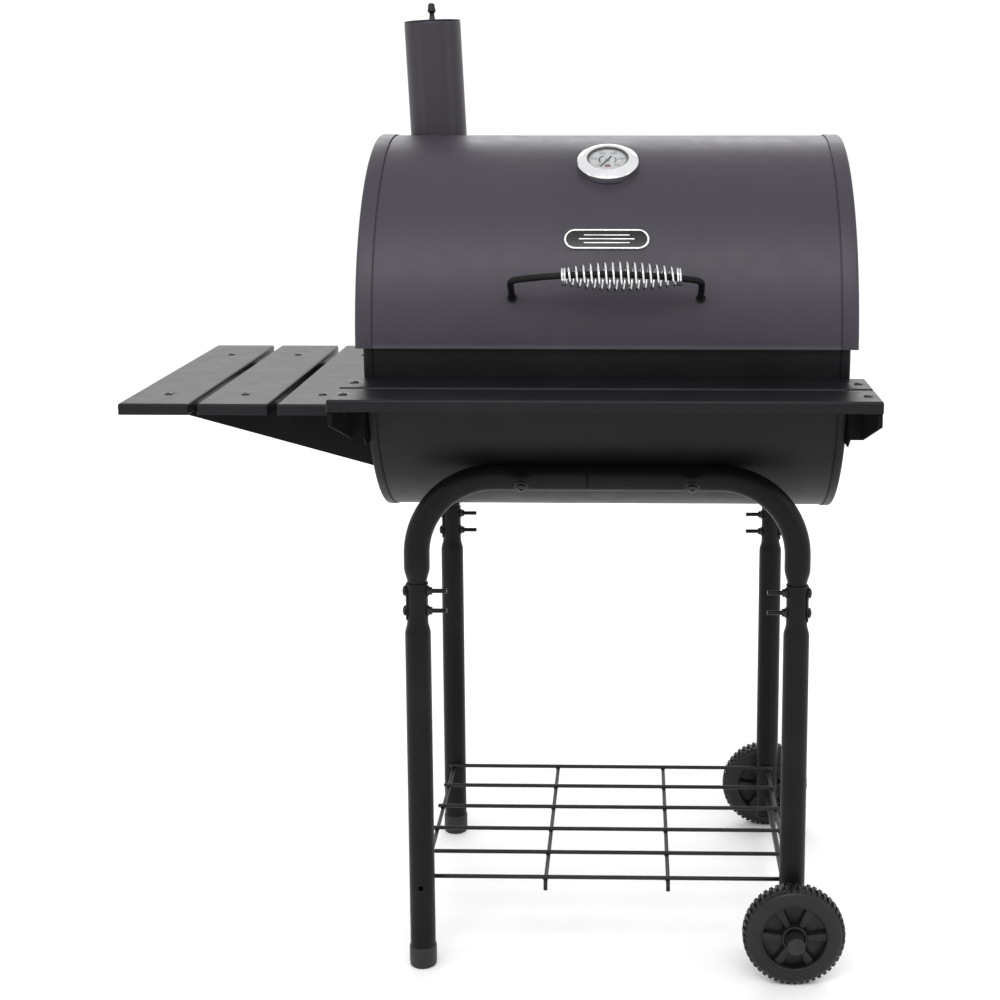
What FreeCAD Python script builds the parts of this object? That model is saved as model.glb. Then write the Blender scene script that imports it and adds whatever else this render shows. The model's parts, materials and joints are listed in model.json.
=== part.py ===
import FreeCAD, Part
import math
import os
import Sketcher

# Barrel charcoal grill on a tube cart. Millimetres, +Z up. Everything is laid out about
# the barrel's centre line (X along the barrel, front towards -Y, floor at Z 0) and then
# stood so that the whole grill is centred on the Z axis.

DRIVING = {
    # barrel: lid over fire box
    "barrel_z": 826, "lid_rad": 253, "box_rad": 246, "sheet": 1.2,
    "lid_half": 305, "lid_band": 20, "box_half": 296, "box_band": 11, "box_lip": 12,
    # tube cart
    "leg_x": 241, "leg_y": 201, "tube_rad": 16.5, "tube_wall": 1.5, "bend_rad": 100,
    "seam_x": 24, "neck_top": 518, "neck_foot": 467, "neck_rad": 13.5, "neck_cone": 10,
    "spigot_rad": 11.9, "spigot_z": 462, "wheel_leg_z": 30, "foot_leg_z": 4,
    "cap_rad": 17.8, "cap_high": 28,
    "joint_bolt_low": 481, "joint_bolt_high": 507, "strap_wide": 13, "saddle_x": 107,
    # wheels and axle
    "axle_rad": 4, "axle_z": 66, "wheel_rad": 66, "wheel_wide": 34, "wheel_y": 237,
    "rim_rad": 41, "hub_rad": 17, "wheel_web": 6, "spoke_deep": 24, "spoke_root": 4, "spoke_tip": 7,
    "axle_cap_rad": 11.5, "axle_cap_high": 20, "axle_cap_dome": 3, "run_gap": 0.06,
    # bottom wire rack
    "rack_z": 108, "wire_rad": 2.7, "rack_x": 248, "rack_cross_x": 80.5, "rack_pitch": 73,
    # shelves: folded sheet slats on folded brackets
    "slat_sheet": 1.2, "slat_deep": 14, "slat_bend": 3, "slat_gap": 11,
    "side_top": 756, "side_reach": 600, "side_slat": 87, "side_half": 247,
    "side_front_hole": 72, "side_rear_hole": 403,
    "front_top": 790, "front_reach": 403, "front_slat": 75, "front_half": 314,
    "front_gap": 8, "front_hole_x": 301,
    "plate": 1.5, "bracket_flange": 18, "gusset_deep": 76, "gusset_tip": 551,
    "side_bolt_high": 14, "side_bolt_low": 54,
    # fasteners
    "screw_rad": 2.5, "screw_head": 5.5, "screw_crown": 2.4, "screw_long": 22,
    "bolt_rad": 3, "bolt_head": 7, "bolt_crown": 4, "short_bolt": 15, "small_head": 6,
    "small_crown": 3, "nut_rad": 6, "nut_high": 5, "hole_gap": 0.3, "seat_gap": 0.15,
    # lid furniture
    "handle_x": 114, "handle_lift": 14, "handle_tilt": 35, "handle_reach": 47,
    "rod_rad": 4, "rod_bend": 12, "rod_bow": 13, "rod_root": 10,
    "coil_left": 54, "coil_right": 91, "coil_end_rad": 9.6, "coil_mid_rad": 17.4,
    "coil_wire": 1.35, "coil_hang": 7,
    "gauge_tilt": 58.5, "gauge_rad": 39, "gauge_neck": 7.5, "gauge_stem": 3.5,
    "badge_tilt": 31, "badge_long": 104, "badge_high": 27, "badge_thick": 3,
    "stack_x": 232, "stack_y": 50, "stack_rad": 38, "stack_top": 1229, "stack_lean": 2.6,
    "stack_ledge": 3, "stack_tab": 12, "stack_tab_long": 14, "stack_screw": 8,
    # hinges at the back
    "hinge_x": 170, "hinge_y": 262, "hinge_z": 834, "hinge_pin": 2.5, "hinge_wide": 40,
    "knuckle_rad": 5, "knuckle_half": 8, "leaf_sheet": 2, "leaf_drop": 50, "leaf_high": 36,
    "arm_drop": 16, "flap_high": 34, "flap_foot": 4, "flap_tilt": 9,
    "hinge_bolt_x": 10, "hinge_bolt_drop": 31,
    # grates inside
    "grate_z": 812, "grate_half_y": 228, "grate_long": 280, "grate_rod": 3, "grate_bar": 2.2,
    "fire_z": 704, "fire_half_x": 280, "fire_half_y": 150,
    # round air vents
    "vent_z": 690, "vent_rad": 42, "vent_hole": 12.5, "vent_pitch": 26, "vent_tab": 12,
    "damper_hole": 10, "damper_pitch": 22, "damper_tab": 12, "damper_tab_long": 9,
}

doc = FreeCAD.newDocument("BarrelGrill")


class Dim:
    """A length or angle held both as a number and as the expression that gives it."""

    def __init__(self, number, text=None):
        self.number = float(number)
        self.bound = text is not None
        self.text = text if self.bound else "(" + repr(self.number) + ")"

    def _join(self, sign, other, number):
        joined = Dim(number, "(" + self.text + sign + other.text + ")")
        joined.bound = self.bound or other.bound
        return joined

    def __add__(self, other):
        other = dim(other)
        return self._join(" + ", other, self.number + other.number)

    def __sub__(self, other):
        other = dim(other)
        return self._join(" - ", other, self.number - other.number)

    def __mul__(self, other):
        other = dim(other)
        return self._join(" * ", other, self.number * other.number)

    def __truediv__(self, other):
        other = dim(other)
        return self._join(" / ", other, self.number / other.number)

    def __neg__(self):
        return self * -1

    __radd__ = __add__
    __rmul__ = __mul__

    def __rsub__(self, other):
        return dim(other) - self


def dim(value):
    return value if isinstance(value, Dim) else Dim(value)


def cosine(angle):
    angle = dim(angle)
    return Dim(math.cos(math.radians(angle.number)), "cos(" + angle.text + ")")


def sine(angle):
    angle = dim(angle)
    return Dim(math.sin(math.radians(angle.number)), "sin(" + angle.text + ")")


def root(square):
    return Dim(math.sqrt(square.number), "sqrt(" + square.text + ")")


class Dims:
    """The driving dimensions, one spreadsheet cell each, read back by name."""

    def __init__(self):
        cells = doc.addObject("Spreadsheet::Sheet", "Dims")
        for row, (alias, value) in enumerate(DRIVING.items(), start=1):
            cells.set("A%d" % row, alias)
            cells.set("B%d" % row, str(value))
            cells.setAlias("B%d" % row, alias)
        doc.recompute()
        for alias in DRIVING:
            setattr(self, alias, Dim(cells.get(alias), "Dims." + alias))


d = Dims()
LEFT, RIGHT, FRONT, REAR = -1, 1, -1, 1
DRILL = 20  # long enough to pass through one sheet or plate
THIRDS = (0, 120, 240)
AXES = {"x": FreeCAD.Vector(1, 0, 0), "y": FreeCAD.Vector(0, 1, 0), "z": FreeCAD.Vector(0, 0, 1)}

# worked-out places
bar_z = d.barrel_z - root((d.box_rad + d.sheet + d.tube_rad) * (d.box_rad + d.sheet + d.tube_rad)
                          - d.leg_y * d.leg_y)
rear_reach = d.wheel_y + d.wheel_wide / 2 + d.axle_cap_high
origin_x = (d.side_reach - d.front_half) / 2
origin_y = (d.front_reach - rear_reach) / 2
lid_shell_rad = d.lid_rad - d.sheet
box_inner_rad = d.box_rad - d.sheet
bolt_hole = d.bolt_rad + d.hole_gap
screw_hole = d.screw_rad + d.hole_gap
pivot_hole = d.bolt_rad + d.run_gap
stack_foot_z = d.barrel_z + 200

pieces = {}


# ---------------------------------------------------------------- building helpers

def turned(axis, angle):
    return FreeCAD.Rotation(AXES[axis], angle)


def along(direction):
    """Rotation that turns the local Z axis into the given direction."""
    if isinstance(direction, str):
        direction = AXES[direction]
    return FreeCAD.Rotation(AXES["z"], FreeCAD.Vector(*direction))


def place(thing, at=(0, 0, 0), rotation=None):
    at = [dim(value) for value in at]
    base = FreeCAD.Vector(*[value.number for value in at])
    thing.Placement = FreeCAD.Placement(base, rotation or FreeCAD.Rotation())
    for letter, value in zip("xyz", at):
        if value.bound:
            thing.setExpression("Placement.Base." + letter, value.text)
    return thing


def size(thing, **sizes):
    for name, value in sizes.items():
        value = dim(value)
        setattr(thing, name, value.number)
        if value.bound:
            thing.setExpression(name, value.text)
    return thing


def piece(thing, label, at=(0, 0, 0), rotation=None):
    """Name a finished sub-part and stand it in the frame of the whole grill."""
    thing.Label = label
    place(thing, (origin_x + at[0], origin_y + at[1], at[2]), rotation)
    pieces[label] = thing
    return thing


def cylinder(radius, height, at=(0, 0, 0), direction="z"):
    thing = doc.addObject("Part::Cylinder", "Cylinder")
    size(thing, Radius=radius, Height=height)
    return place(thing, at, along(direction))


def cone(radius_low, radius_high, height, at=(0, 0, 0), direction="z"):
    thing = doc.addObject("Part::Cone", "Cone")
    size(thing, Radius1=radius_low, Radius2=radius_high, Height=height)
    return place(thing, at, along(direction))


def block(long, wide, high, at=(0, 0, 0), rotation=None):
    thing = doc.addObject("Part::Box", "Box")
    size(thing, Length=long, Width=wide, Height=high)
    return place(thing, at, rotation)


def fused(*things):
    if len(things) == 1:
        return things[0]
    joined = doc.addObject("Part::MultiFuse", "Fuse")
    joined.Shapes = list(things)
    return joined


def cut(base, *tools):
    result = doc.addObject("Part::Cut", "Cut")
    result.Base = base
    result.Tool = fused(*tools)
    return result


def common(first, second):
    result = doc.addObject("Part::Common", "Common")
    result.Base = first
    result.Tool = second
    return result


def group(things):
    """Identical separate solids kept together."""
    result = doc.addObject("Part::Compound", "Group")
    result.Links = list(things)
    return result


def new_body():
    return doc.addObject("PartDesign::Body", "Body")


def new_sketch(body, role, offset=0):
    sketch = body.newObject("Sketcher::SketchObject", "Sketch")
    plane = [item for item in body.Origin.OriginFeatures if item.Role == role][0]
    sketch.AttachmentSupport = [(plane, "")]
    sketch.MapMode = "FlatFace"
    offset = dim(offset)
    sketch.AttachmentOffset = FreeCAD.Placement(FreeCAD.Vector(0, 0, offset.number), FreeCAD.Rotation())
    if offset.bound:
        sketch.setExpression("AttachmentOffset.Base.z", offset.text)
    return sketch


def pin(sketch, kind, geometry, end, value):
    """Fix one coordinate of a point from the sketch origin, bound to its expression."""
    value = dim(value)
    if not value.bound and value.number == 0:
        axis = -2 if kind == "DistanceX" else -1
        sketch.addConstraint(Sketcher.Constraint("PointOnObject", geometry, end, axis))
        return
    index = sketch.addConstraint(Sketcher.Constraint(kind, -1, 1, geometry, end, value.number))
    if value.bound:
        sketch.setExpression("Constraints[%d]" % index, value.text)


def outline(sketch, corners):
    """Closed outline. A corner is (x, y), or (x, y, centre_x, centre_y, turn) where the edge
    that leaves it is an arc about that centre, turn +1 anticlockwise or -1 clockwise."""
    corners = [tuple(dim(value) for value in corner) for corner in corners]
    ends = []
    for corner, following in zip(corners, corners[1:] + corners[:1]):
        start = FreeCAD.Vector(corner[0].number, corner[1].number, 0)
        stop = FreeCAD.Vector(following[0].number, following[1].number, 0)
        if len(corner) == 2:
            geometry = sketch.addGeometry(Part.LineSegment(start, stop))
            ends.append((geometry, 1, 2))
            continue
        centre = FreeCAD.Vector(corner[2].number, corner[3].number, 0)
        circle = Part.Circle(centre, AXES["z"], (start - centre).Length)
        angles = [math.atan2(point.y - centre.y, point.x - centre.x) for point in (start, stop)]
        forward = corner[4].number > 0
        arc = Part.ArcOfCircle(circle, *(angles if forward else reversed(angles)))
        geometry = sketch.addGeometry(arc)
        ends.append((geometry, 1, 2) if forward else (geometry, 2, 1))
        if abs(stop.x - start.x) >= abs(stop.y - start.y):
            pin(sketch, "DistanceY", geometry, 3, corner[3])
        else:
            pin(sketch, "DistanceX", geometry, 3, corner[2])
    for corner, (geometry, start_end, stop_end), (next_geometry, next_start, _) in zip(
            corners, ends, ends[1:] + ends[:1]):
        pin(sketch, "DistanceX", geometry, start_end, corner[0])
        pin(sketch, "DistanceY", geometry, start_end, corner[1])
        sketch.addConstraint(Sketcher.Constraint("Coincident", geometry, stop_end,
                                                 next_geometry, next_start))


def circles(sketch, spots):
    """Circles given as (x, y, radius)."""
    for x, y, radius in spots:
        radius = dim(radius)
        centre = FreeCAD.Vector(dim(x).number, dim(y).number, 0)
        geometry = sketch.addGeometry(Part.Circle(centre, AXES["z"], radius.number))
        pin(sketch, "DistanceX", geometry, 3, x)
        pin(sketch, "DistanceY", geometry, 3, y)
        index = sketch.addConstraint(Sketcher.Constraint("Radius", geometry, radius.number))
        if radius.bound:
            sketch.setExpression("Constraints[%d]" % index, radius.text)


def pad(body, sketch, length, reverse=False):
    feature = body.newObject("PartDesign::Pad", "Pad")
    feature.Profile = sketch
    feature.Reversed = reverse
    return size(feature, Length=length)


def pocket_through(body, sketch):
    feature = body.newObject("PartDesign::Pocket", "Pocket")
    feature.Profile = sketch
    feature.Midplane = True
    feature.Type = 1
    return feature


def prism(role, corners, start, length):
    """A padded outline on one of the body's own planes."""
    body = new_body()
    sketch = new_sketch(body, role, start)
    outline(sketch, corners)
    pad(body, sketch, length)
    return body


def lathe(corners):
    """A turned piece: (radius, height) corners revolved about the local Z axis."""
    body = new_body()
    sketch = new_sketch(body, "XZ_Plane")
    outline(sketch, corners)
    feature = body.newObject("PartDesign::Revolution", "Revolution")
    feature.Profile = sketch
    feature.ReferenceAxis = (sketch, ["V_Axis"])
    feature.Angle = 360
    return body


def repeat_round(body, sketch, feature, count):
    """A feature drawn once and repeated round the local Z axis."""
    pattern = body.newObject("PartDesign::PolarPattern", "PolarPattern")
    pattern.Originals = [feature]
    pattern.Axis = (sketch, ["N_Axis"])
    pattern.Angle = 360
    pattern.Occurrences = count
    body.Tip = pattern


def direction_of(direction):
    return FreeCAD.Vector(*(AXES[direction] if isinstance(direction, str) else direction))


def shifted(at, direction, reach):
    """The place this far along a direction from another place."""
    way = direction_of(direction)
    return tuple(dim(at[i]) + dim(reach) * way[i] for i in range(3))


def drill(radius, at, direction, long=DRILL):
    """Cutting tool: a cylinder that runs equally far both ways from the given place."""
    return cylinder(radius, long, shifted(at, direction, dim(long) / -2), direction)


def bolt(radius, length, head_rad, head_high, at, direction):
    """Pan-head bolt. The head's seat is at the given place and the shank points along direction."""
    way = direction_of(direction)
    shank = cylinder(radius, length, at, way)
    skirt = cylinder(head_rad, head_high / 2, at, way * -1)
    crown = cone(head_rad, head_rad * 0.55, head_high / 2, shifted(at, way, head_high / -2), way * -1)
    return fused(shank, skirt, crown)


def small_bolt(at, direction):
    return bolt(d.bolt_rad, d.short_bolt, d.small_head, d.small_crown, at, direction)


def nut(radius, bore, high, at, direction):
    """Six-sided nut whose seat is at the given place."""
    thing = doc.addObject("Part::Prism", "Nut")
    thing.Polygon = 6
    size(thing, Circumradius=radius, Height=high)
    place(thing, at, along(direction))
    return cut(thing, cylinder(bore, high, at, direction))


def radial(angle):
    """Unit vector out of the barrel's side at this many degrees above the front horizontal."""
    tilt = math.radians(dim(angle).number)
    return FreeCAD.Vector(0, -math.cos(tilt), math.sin(tilt))


def on_barrel(x, radius, angle):
    return (x, -cosine(angle) * radius, d.barrel_z + sine(angle) * radius)


flap_out = radial(180 - d.flap_tilt)


# ---------------------------------------------------------------- barrel

def half_pipe(radius, thickness, lip, side, half_length):
    """Rolled sheet: side -1 is the trough of the fire box, +1 the arch of the lid."""
    level = d.barrel_z
    inner = radius - thickness
    turn = -side
    if side < 0:
        corners = [(-radius, level + lip), (-radius, level, 0, level, turn), (radius, level),
                   (radius, level + lip), (inner, level + lip), (inner, level, 0, level, -turn),
                   (-inner, level), (-inner, level + lip)]
    else:
        corners = [(-radius, level, 0, level, turn), (radius, level), (inner, level, 0, level, -turn),
                   (-inner, level)]
    return prism("YZ_Plane", corners, -half_length, half_length * 2)


def half_disc(radius, lip, side, start, length):
    level = d.barrel_z
    corners = [(-radius, level, 0, level, -side), (radius, level)]
    if side < 0:
        corners += [(radius, level + lip), (-radius, level + lip)]
    return prism("YZ_Plane", corners, start, length)


def barrel_end(radius, lip, side, hand, half, band):
    """End cap: a flat plate with a band that wraps over the rolled sheet."""
    plate_start = half - d.sheet if hand > 0 else -half
    band_start = half - band if hand > 0 else -half
    plate = half_disc(radius + d.sheet, lip, side, plate_start, d.sheet)
    drum = half_disc(radius + d.sheet, lip, side, band_start, band)
    level = d.barrel_z
    hollow_corners = [(-radius, level, 0, level, -side), (radius, level)]
    if side < 0:
        hollow_corners += [(radius, level + lip), (-radius, level + lip)]
    hollow = prism("YZ_Plane", hollow_corners, band_start, band)
    return fused(plate, cut(drum, hollow))


def fire_box():
    shell = half_pipe(d.box_rad, d.sheet, d.box_lip, -1, d.box_half - d.sheet)
    holes = []
    for hand in (LEFT, RIGHT):
        for face in (FRONT, REAR):
            inward = saddle_direction(face)
            on_shell = shifted((d.saddle_x * hand, d.leg_y * face, bar_z), inward, d.tube_rad + d.sheet)
            holes.append(drill(bolt_hole, on_shell, inward))
        for step in (-1, 1):
            at = (d.hinge_x * hand + d.hinge_bolt_x * step, d.box_rad, d.hinge_z - d.hinge_bolt_drop)
            holes.append(drill(bolt_hole, at, "y"))
    piece(cut(shell, *holes), "firebox_shell")

    left = barrel_end(d.box_rad, d.box_lip, -1, LEFT, d.box_half, d.box_band)
    right = barrel_end(d.box_rad, d.box_lip, -1, RIGHT, d.box_half, d.box_band)
    left_holes = [drill(bolt_hole, (-d.box_half, y, z), "x")
                  for y, z in side_bolt_spots() + front_bolt_spots()]
    right_holes = [drill(bolt_hole, (d.box_half, y, z), "x") for y, z in front_bolt_spots()]
    for third in THIRDS:
        turn = third + 90
        spot = (d.box_half, cosine(turn) * d.vent_pitch, d.vent_z + sine(turn) * d.vent_pitch)
        right_holes.append(drill(d.vent_hole, spot, "x"))
    right_holes.append(drill(pivot_hole, (d.box_half, 0, d.vent_z), "x"))
    piece(cut(left, *left_holes), "firebox_end_left")
    piece(cut(right, *right_holes), "firebox_end_right")


def lid():
    shell = half_pipe(lid_shell_rad, d.sheet, 0, 1, d.lid_half - d.sheet)
    holes = [cylinder(d.stack_rad - d.stack_ledge, DRILL * 4, (-d.stack_x, d.stack_y, stack_foot_z))]
    gauge_seat = on_barrel(0, lid_shell_rad, d.gauge_tilt)
    holes.append(drill(d.gauge_neck + d.hole_gap, gauge_seat, radial(d.gauge_tilt)))
    foot = handle_foot()
    for hand in (LEFT, RIGHT):
        rod_spot = (d.handle_x * hand, foot[1], foot[2])
        holes.append(drill(d.rod_rad + d.hole_gap, rod_spot, radial(d.handle_tilt), DRILL * 2))
        for step in (-1, 1):
            holes.append(drill(bolt_hole, flap_bolt_spot(hand, step, lid_shell_rad), flap_out))
    holes += [drill(screw_hole, seat, out) for seat, out in stack_screw_seats()]
    piece(cut(shell, *holes), "lid_shell")
    for hand, name in ((LEFT, "lid_end_left"), (RIGHT, "lid_end_right")):
        piece(barrel_end(lid_shell_rad, 0, 1, hand, d.lid_half, d.lid_band), name)


# ---------------------------------------------------------------- tube cart

def upper_leg_run(hand, seam, inset):
    """Bar under the barrel, bend, post, neck and spigot, thinned all round by inset."""
    rad = d.tube_rad - inset
    spigot = d.spigot_rad - inset
    seam_end = (seam, 0, bar_z)
    bar_long = (d.leg_x - d.bend_rad) - seam * hand
    bar = cylinder(rad, bar_long, seam_end, (hand, 0, 0))
    elbow = doc.addObject("Part::Torus", "Elbow")
    size(elbow, Radius1=d.bend_rad, Radius2=rad)
    elbow.Angle3 = 90
    spin = turned("x", 90) if hand > 0 else FreeCAD.Rotation(FreeCAD.Vector(0, 1, 1), 180)
    place(elbow, ((d.leg_x - d.bend_rad) * hand, 0, bar_z - d.bend_rad), spin)
    leg = d.leg_x * hand
    post_foot = d.neck_top + d.neck_cone
    post = cylinder(rad, bar_z - d.bend_rad - post_foot, (leg, 0, post_foot))
    neck = cone(spigot, rad, d.neck_cone, (leg, 0, d.neck_top))
    tail = cylinder(spigot, d.neck_top - d.spigot_z, (leg, 0, d.spigot_z))
    return fused(bar, elbow, post, neck, tail)


def lower_leg_run(hand, foot, inset):
    rad = d.tube_rad - inset
    neck_rad = d.neck_rad - inset
    leg = d.leg_x * hand
    shoulder = d.neck_foot - d.neck_cone
    post = cylinder(rad, shoulder - foot, (leg, 0, foot))
    taper = cone(rad, neck_rad, d.neck_cone, (leg, 0, shoulder))
    neck = cylinder(neck_rad, d.neck_top - d.neck_foot, (leg, 0, d.neck_foot))
    return fused(post, taper, neck)


def joint_bolt_holes(hand):
    return [drill(bolt_hole, (d.leg_x * hand, 0, z), "x", d.tube_rad * 3)
            for z in (d.joint_bolt_low, d.joint_bolt_high)]


def saddle_direction(face):
    """From a bar's middle square into the fire box above it."""
    return FreeCAD.Vector(0, -face * d.leg_y.number, (d.barrel_z - bar_z).number).normalize()


def legs():
    for face, end in ((FRONT, "front"), (REAR, "rear")):
        seam = d.seam_x * face
        for hand, side in ((LEFT, "left"), (RIGHT, "right")):
            upper = cut(upper_leg_run(hand, seam, 0), upper_leg_run(hand, seam, d.tube_wall))
            saddle_spot = (d.saddle_x * hand, 0, bar_z)
            saddle_hole = drill(bolt_hole, saddle_spot, saddle_direction(face), d.tube_rad * 3)
            upper = cut(upper, saddle_hole, *joint_bolt_holes(hand))
            piece(upper, "upper_leg_%s_%s" % (end, side), (0, d.leg_y * face, 0))

            foot = d.foot_leg_z if hand < 0 else d.wheel_leg_z
            lower = cut(lower_leg_run(hand, foot, 0), lower_leg_run(hand, foot, d.tube_wall))
            leg = d.leg_x * hand
            holes = joint_bolt_holes(hand)
            reach = d.tube_rad + 2
            rack_from = 0 if face < 0 else -reach
            holes.append(cylinder(d.wire_rad + d.hole_gap, reach, (leg, rack_from, d.rack_z), "y"))
            if hand > 0:
                holes.append(cylinder(d.axle_rad + d.run_gap, reach * 2, (leg, -reach, d.axle_z), "y"))
            else:
                outer_from = -reach if face < 0 else 0
                holes.append(cylinder(d.axle_rad, reach, (leg, outer_from, d.rack_z + d.axle_rad), "y"))
            piece(cut(lower, *holes), "lower_leg_%s_%s" % (end, side), (0, d.leg_y * face, 0))

        cup = cylinder(d.cap_rad, d.cap_high)
        socket = cylinder(d.tube_rad, d.cap_high - d.foot_leg_z, (0, 0, d.foot_leg_z))
        piece(cut(cup, socket), "foot_cap_" + end, (-d.leg_x, d.leg_y * face, 0))


def frame_fasteners():
    bolts, nuts, plates = [], [], []
    strap_out = d.neck_rad + d.plate
    joint_bolt_long = d.neck_rad * 2 + 24
    strap_inset = 2
    for hand in (LEFT, RIGHT):
        for face in (FRONT, REAR):
            y = d.leg_y * face
            holes = []
            for z in (d.joint_bolt_low, d.joint_bolt_high):
                seat = (d.leg_x * hand + strap_out * hand, y, z)
                inward = (-hand, 0, 0)
                bolts.append(bolt(d.bolt_rad, joint_bolt_long, d.bolt_head, d.bolt_crown, seat, inward))
                nut_at = (d.leg_x * hand - d.neck_rad * hand, y, z)
                nuts.append(nut(d.nut_rad, d.bolt_rad, d.nut_high, nut_at, inward))
                holes.append(drill(pivot_hole, seat, "x"))
            low = d.leg_x * hand + (d.neck_rad if hand > 0 else -strap_out)
            strap_high = d.neck_top - d.neck_foot - strap_inset * 2
            strap_at = (low, y - d.strap_wide / 2, d.neck_foot + strap_inset)
            plates.append(cut(block(d.plate, d.strap_wide, strap_high, strap_at), *holes))
    piece(group(bolts), "leg_joint_bolts")
    piece(group(plates), "leg_joint_plates")

    saddle_bolts = []
    saddle_bolt_long = d.tube_rad * 2 + 14
    for hand in (LEFT, RIGHT):
        for face in (FRONT, REAR):
            bar = (d.saddle_x * hand, d.leg_y * face, bar_z)
            inward = saddle_direction(face)
            seat = shifted(bar, inward, -d.tube_rad)
            saddle_bolts.append(bolt(d.bolt_rad, saddle_bolt_long, d.bolt_head, d.bolt_crown, seat, inward))
            nut_at = shifted(bar, inward, d.tube_rad + d.sheet * 2 + d.seat_gap)
            nuts.append(nut(d.nut_rad, d.bolt_rad, d.nut_high, nut_at, inward))
    piece(group(saddle_bolts), "saddle_bolts")
    piece(group(nuts), "frame_nuts")


def bottom_rack():
    """Welded wire rack: six long wires on four cross wires, the outer two ending in the legs."""
    wires = []
    drop = d.wire_rad * 1.8
    for row in range(6):
        y = d.rack_pitch * (row - 2.5)
        wires.append(cylinder(d.wire_rad, d.rack_x * 2, (-d.rack_x, y, d.rack_z + drop), "x"))
    for x in (-d.leg_x, d.leg_x):
        half = d.leg_y - d.tube_rad + 8
        wires.append(cylinder(d.wire_rad, half * 2, (x, -half, d.rack_z), "y"))
    for x in (-d.rack_cross_x, d.rack_cross_x):
        half = d.rack_pitch * 2.5 + 6
        wires.append(cylinder(d.wire_rad, half * 2, (x, -half, d.rack_z), "y"))
        wires.append(cylinder(d.wire_rad, 10, (x, -half, d.rack_z - 10), "z"))
        ball = doc.addObject("Part::Sphere", "Bend")
        size(ball, Radius=d.wire_rad)
        wires.append(place(ball, (x, -half, d.rack_z)))
    piece(fused(*wires), "bottom_rack")


# ---------------------------------------------------------------- wheels and axle

def wheels():
    half = d.wheel_wide / 2
    tread = d.wheel_rad
    web = d.wheel_web / 2
    corners = [
        (d.axle_rad + d.run_gap, -half), (d.hub_rad, -half), (d.hub_rad, -web),
        (d.rim_rad, -web), (d.rim_rad, -half + 2), (tread - 8, -half + 2), (tread - 2, -half + 7),
        (tread, 0), (tread - 2, half - 7), (tread - 8, half - 2), (d.rim_rad, half - 2),
        (d.rim_rad, web), (d.hub_rad, web), (d.hub_rad, half), (d.axle_rad + d.run_gap, half),
    ]
    spoke_from, spoke_to = d.hub_rad - 1, d.rim_rad + 1
    for face, end in ((FRONT, "front"), (REAR, "rear")):
        body = lathe(corners)
        sketch = new_sketch(body, "XY_Plane")
        outline(sketch, [(spoke_from, -d.spoke_root), (spoke_to, -d.spoke_tip), (spoke_to, d.spoke_tip),
                         (spoke_from, d.spoke_root)])
        spoke = pad(body, sketch, d.spoke_deep)
        spoke.Midplane = True
        repeat_round(body, sketch, spoke, 6)
        piece(body, "wheel_" + end, (d.leg_x, d.wheel_y * face, d.axle_z), along((0, face, 0)))

    axle_half = d.wheel_y + half + d.axle_cap_high - d.axle_cap_dome * 2
    axle = cylinder(d.axle_rad, axle_half * 2)
    piece(axle, "axle", (d.leg_x, -axle_half, d.axle_z), along("y"))
    caps = []
    gap, dome = d.hole_gap, d.axle_cap_dome
    high = d.axle_cap_high - gap
    for face in (FRONT, REAR):
        outward = (0, face, 0)
        start = (d.leg_x, (d.wheel_y + half + gap) * face, d.axle_z)
        side = cylinder(d.axle_cap_rad, high - dome, start, outward)
        end_at = shifted(start, outward, high - dome)
        end = cone(d.axle_cap_rad, d.axle_cap_rad - dome, dome, end_at, outward)
        caps.append(cut(fused(side, end), cylinder(d.axle_rad, high - dome * 2, start, outward)))
    piece(group(caps), "axle_caps")


# ---------------------------------------------------------------- shelves

def on_ground(part_of_shape):
    """Whether an edge or face lies wholly in the plane the shape stands on."""
    return part_of_shape.BoundBox.ZMax < 0.001


def slat(label, long, wide, corner, holes):
    """Sheet tray open underneath, edges folded down and corners rounded."""
    body = new_body()
    sketch = new_sketch(body, "XY_Plane")
    outline(sketch, [(0, 0), (long, 0), (long, wide), (0, wide)])
    block_pad = pad(body, sketch, d.slat_deep)
    doc.recompute()
    edges = ["Edge%d" % n for n, edge in enumerate(block_pad.Shape.Edges, start=1) if not on_ground(edge)]
    rounding = body.newObject("PartDesign::Fillet", "Fillet")
    rounding.Base = (block_pad, edges)
    size(rounding, Radius=d.slat_bend)
    doc.recompute()
    floor = ["Face%d" % n for n, face in enumerate(rounding.Shape.Faces, start=1) if on_ground(face)]
    shell = body.newObject("PartDesign::Thickness", "Thickness")
    shell.Base = (rounding, floor)
    shell.Reversed = True
    size(shell, Value=d.slat_sheet)
    hole_sketch = new_sketch(body, "XY_Plane")
    circles(hole_sketch, [(x, y, screw_hole) for x, y in holes])
    pocket_through(body, hole_sketch)
    piece(body, label, corner)


def side_slat_left(number):
    return -d.side_reach + (d.side_slat + d.slat_gap) * number


def side_bracket_y(face):
    hole = d.side_front_hole if face < 0 else d.side_rear_hole
    return -d.side_half + hole


def side_bolt_spots():
    """Where the side shelf's brackets bolt to the end of the fire box."""
    spots = []
    for face in (FRONT, REAR):
        y = side_bracket_y(face)
        spots += [(y, d.side_top - d.slat_deep - drop) for drop in (d.side_bolt_high, d.side_bolt_low)]
    return spots


def front_bolt_spots():
    return [(-d.box_rad + 28, d.front_top - 40), (-d.box_rad + 44, d.front_top - 76)]


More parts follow.
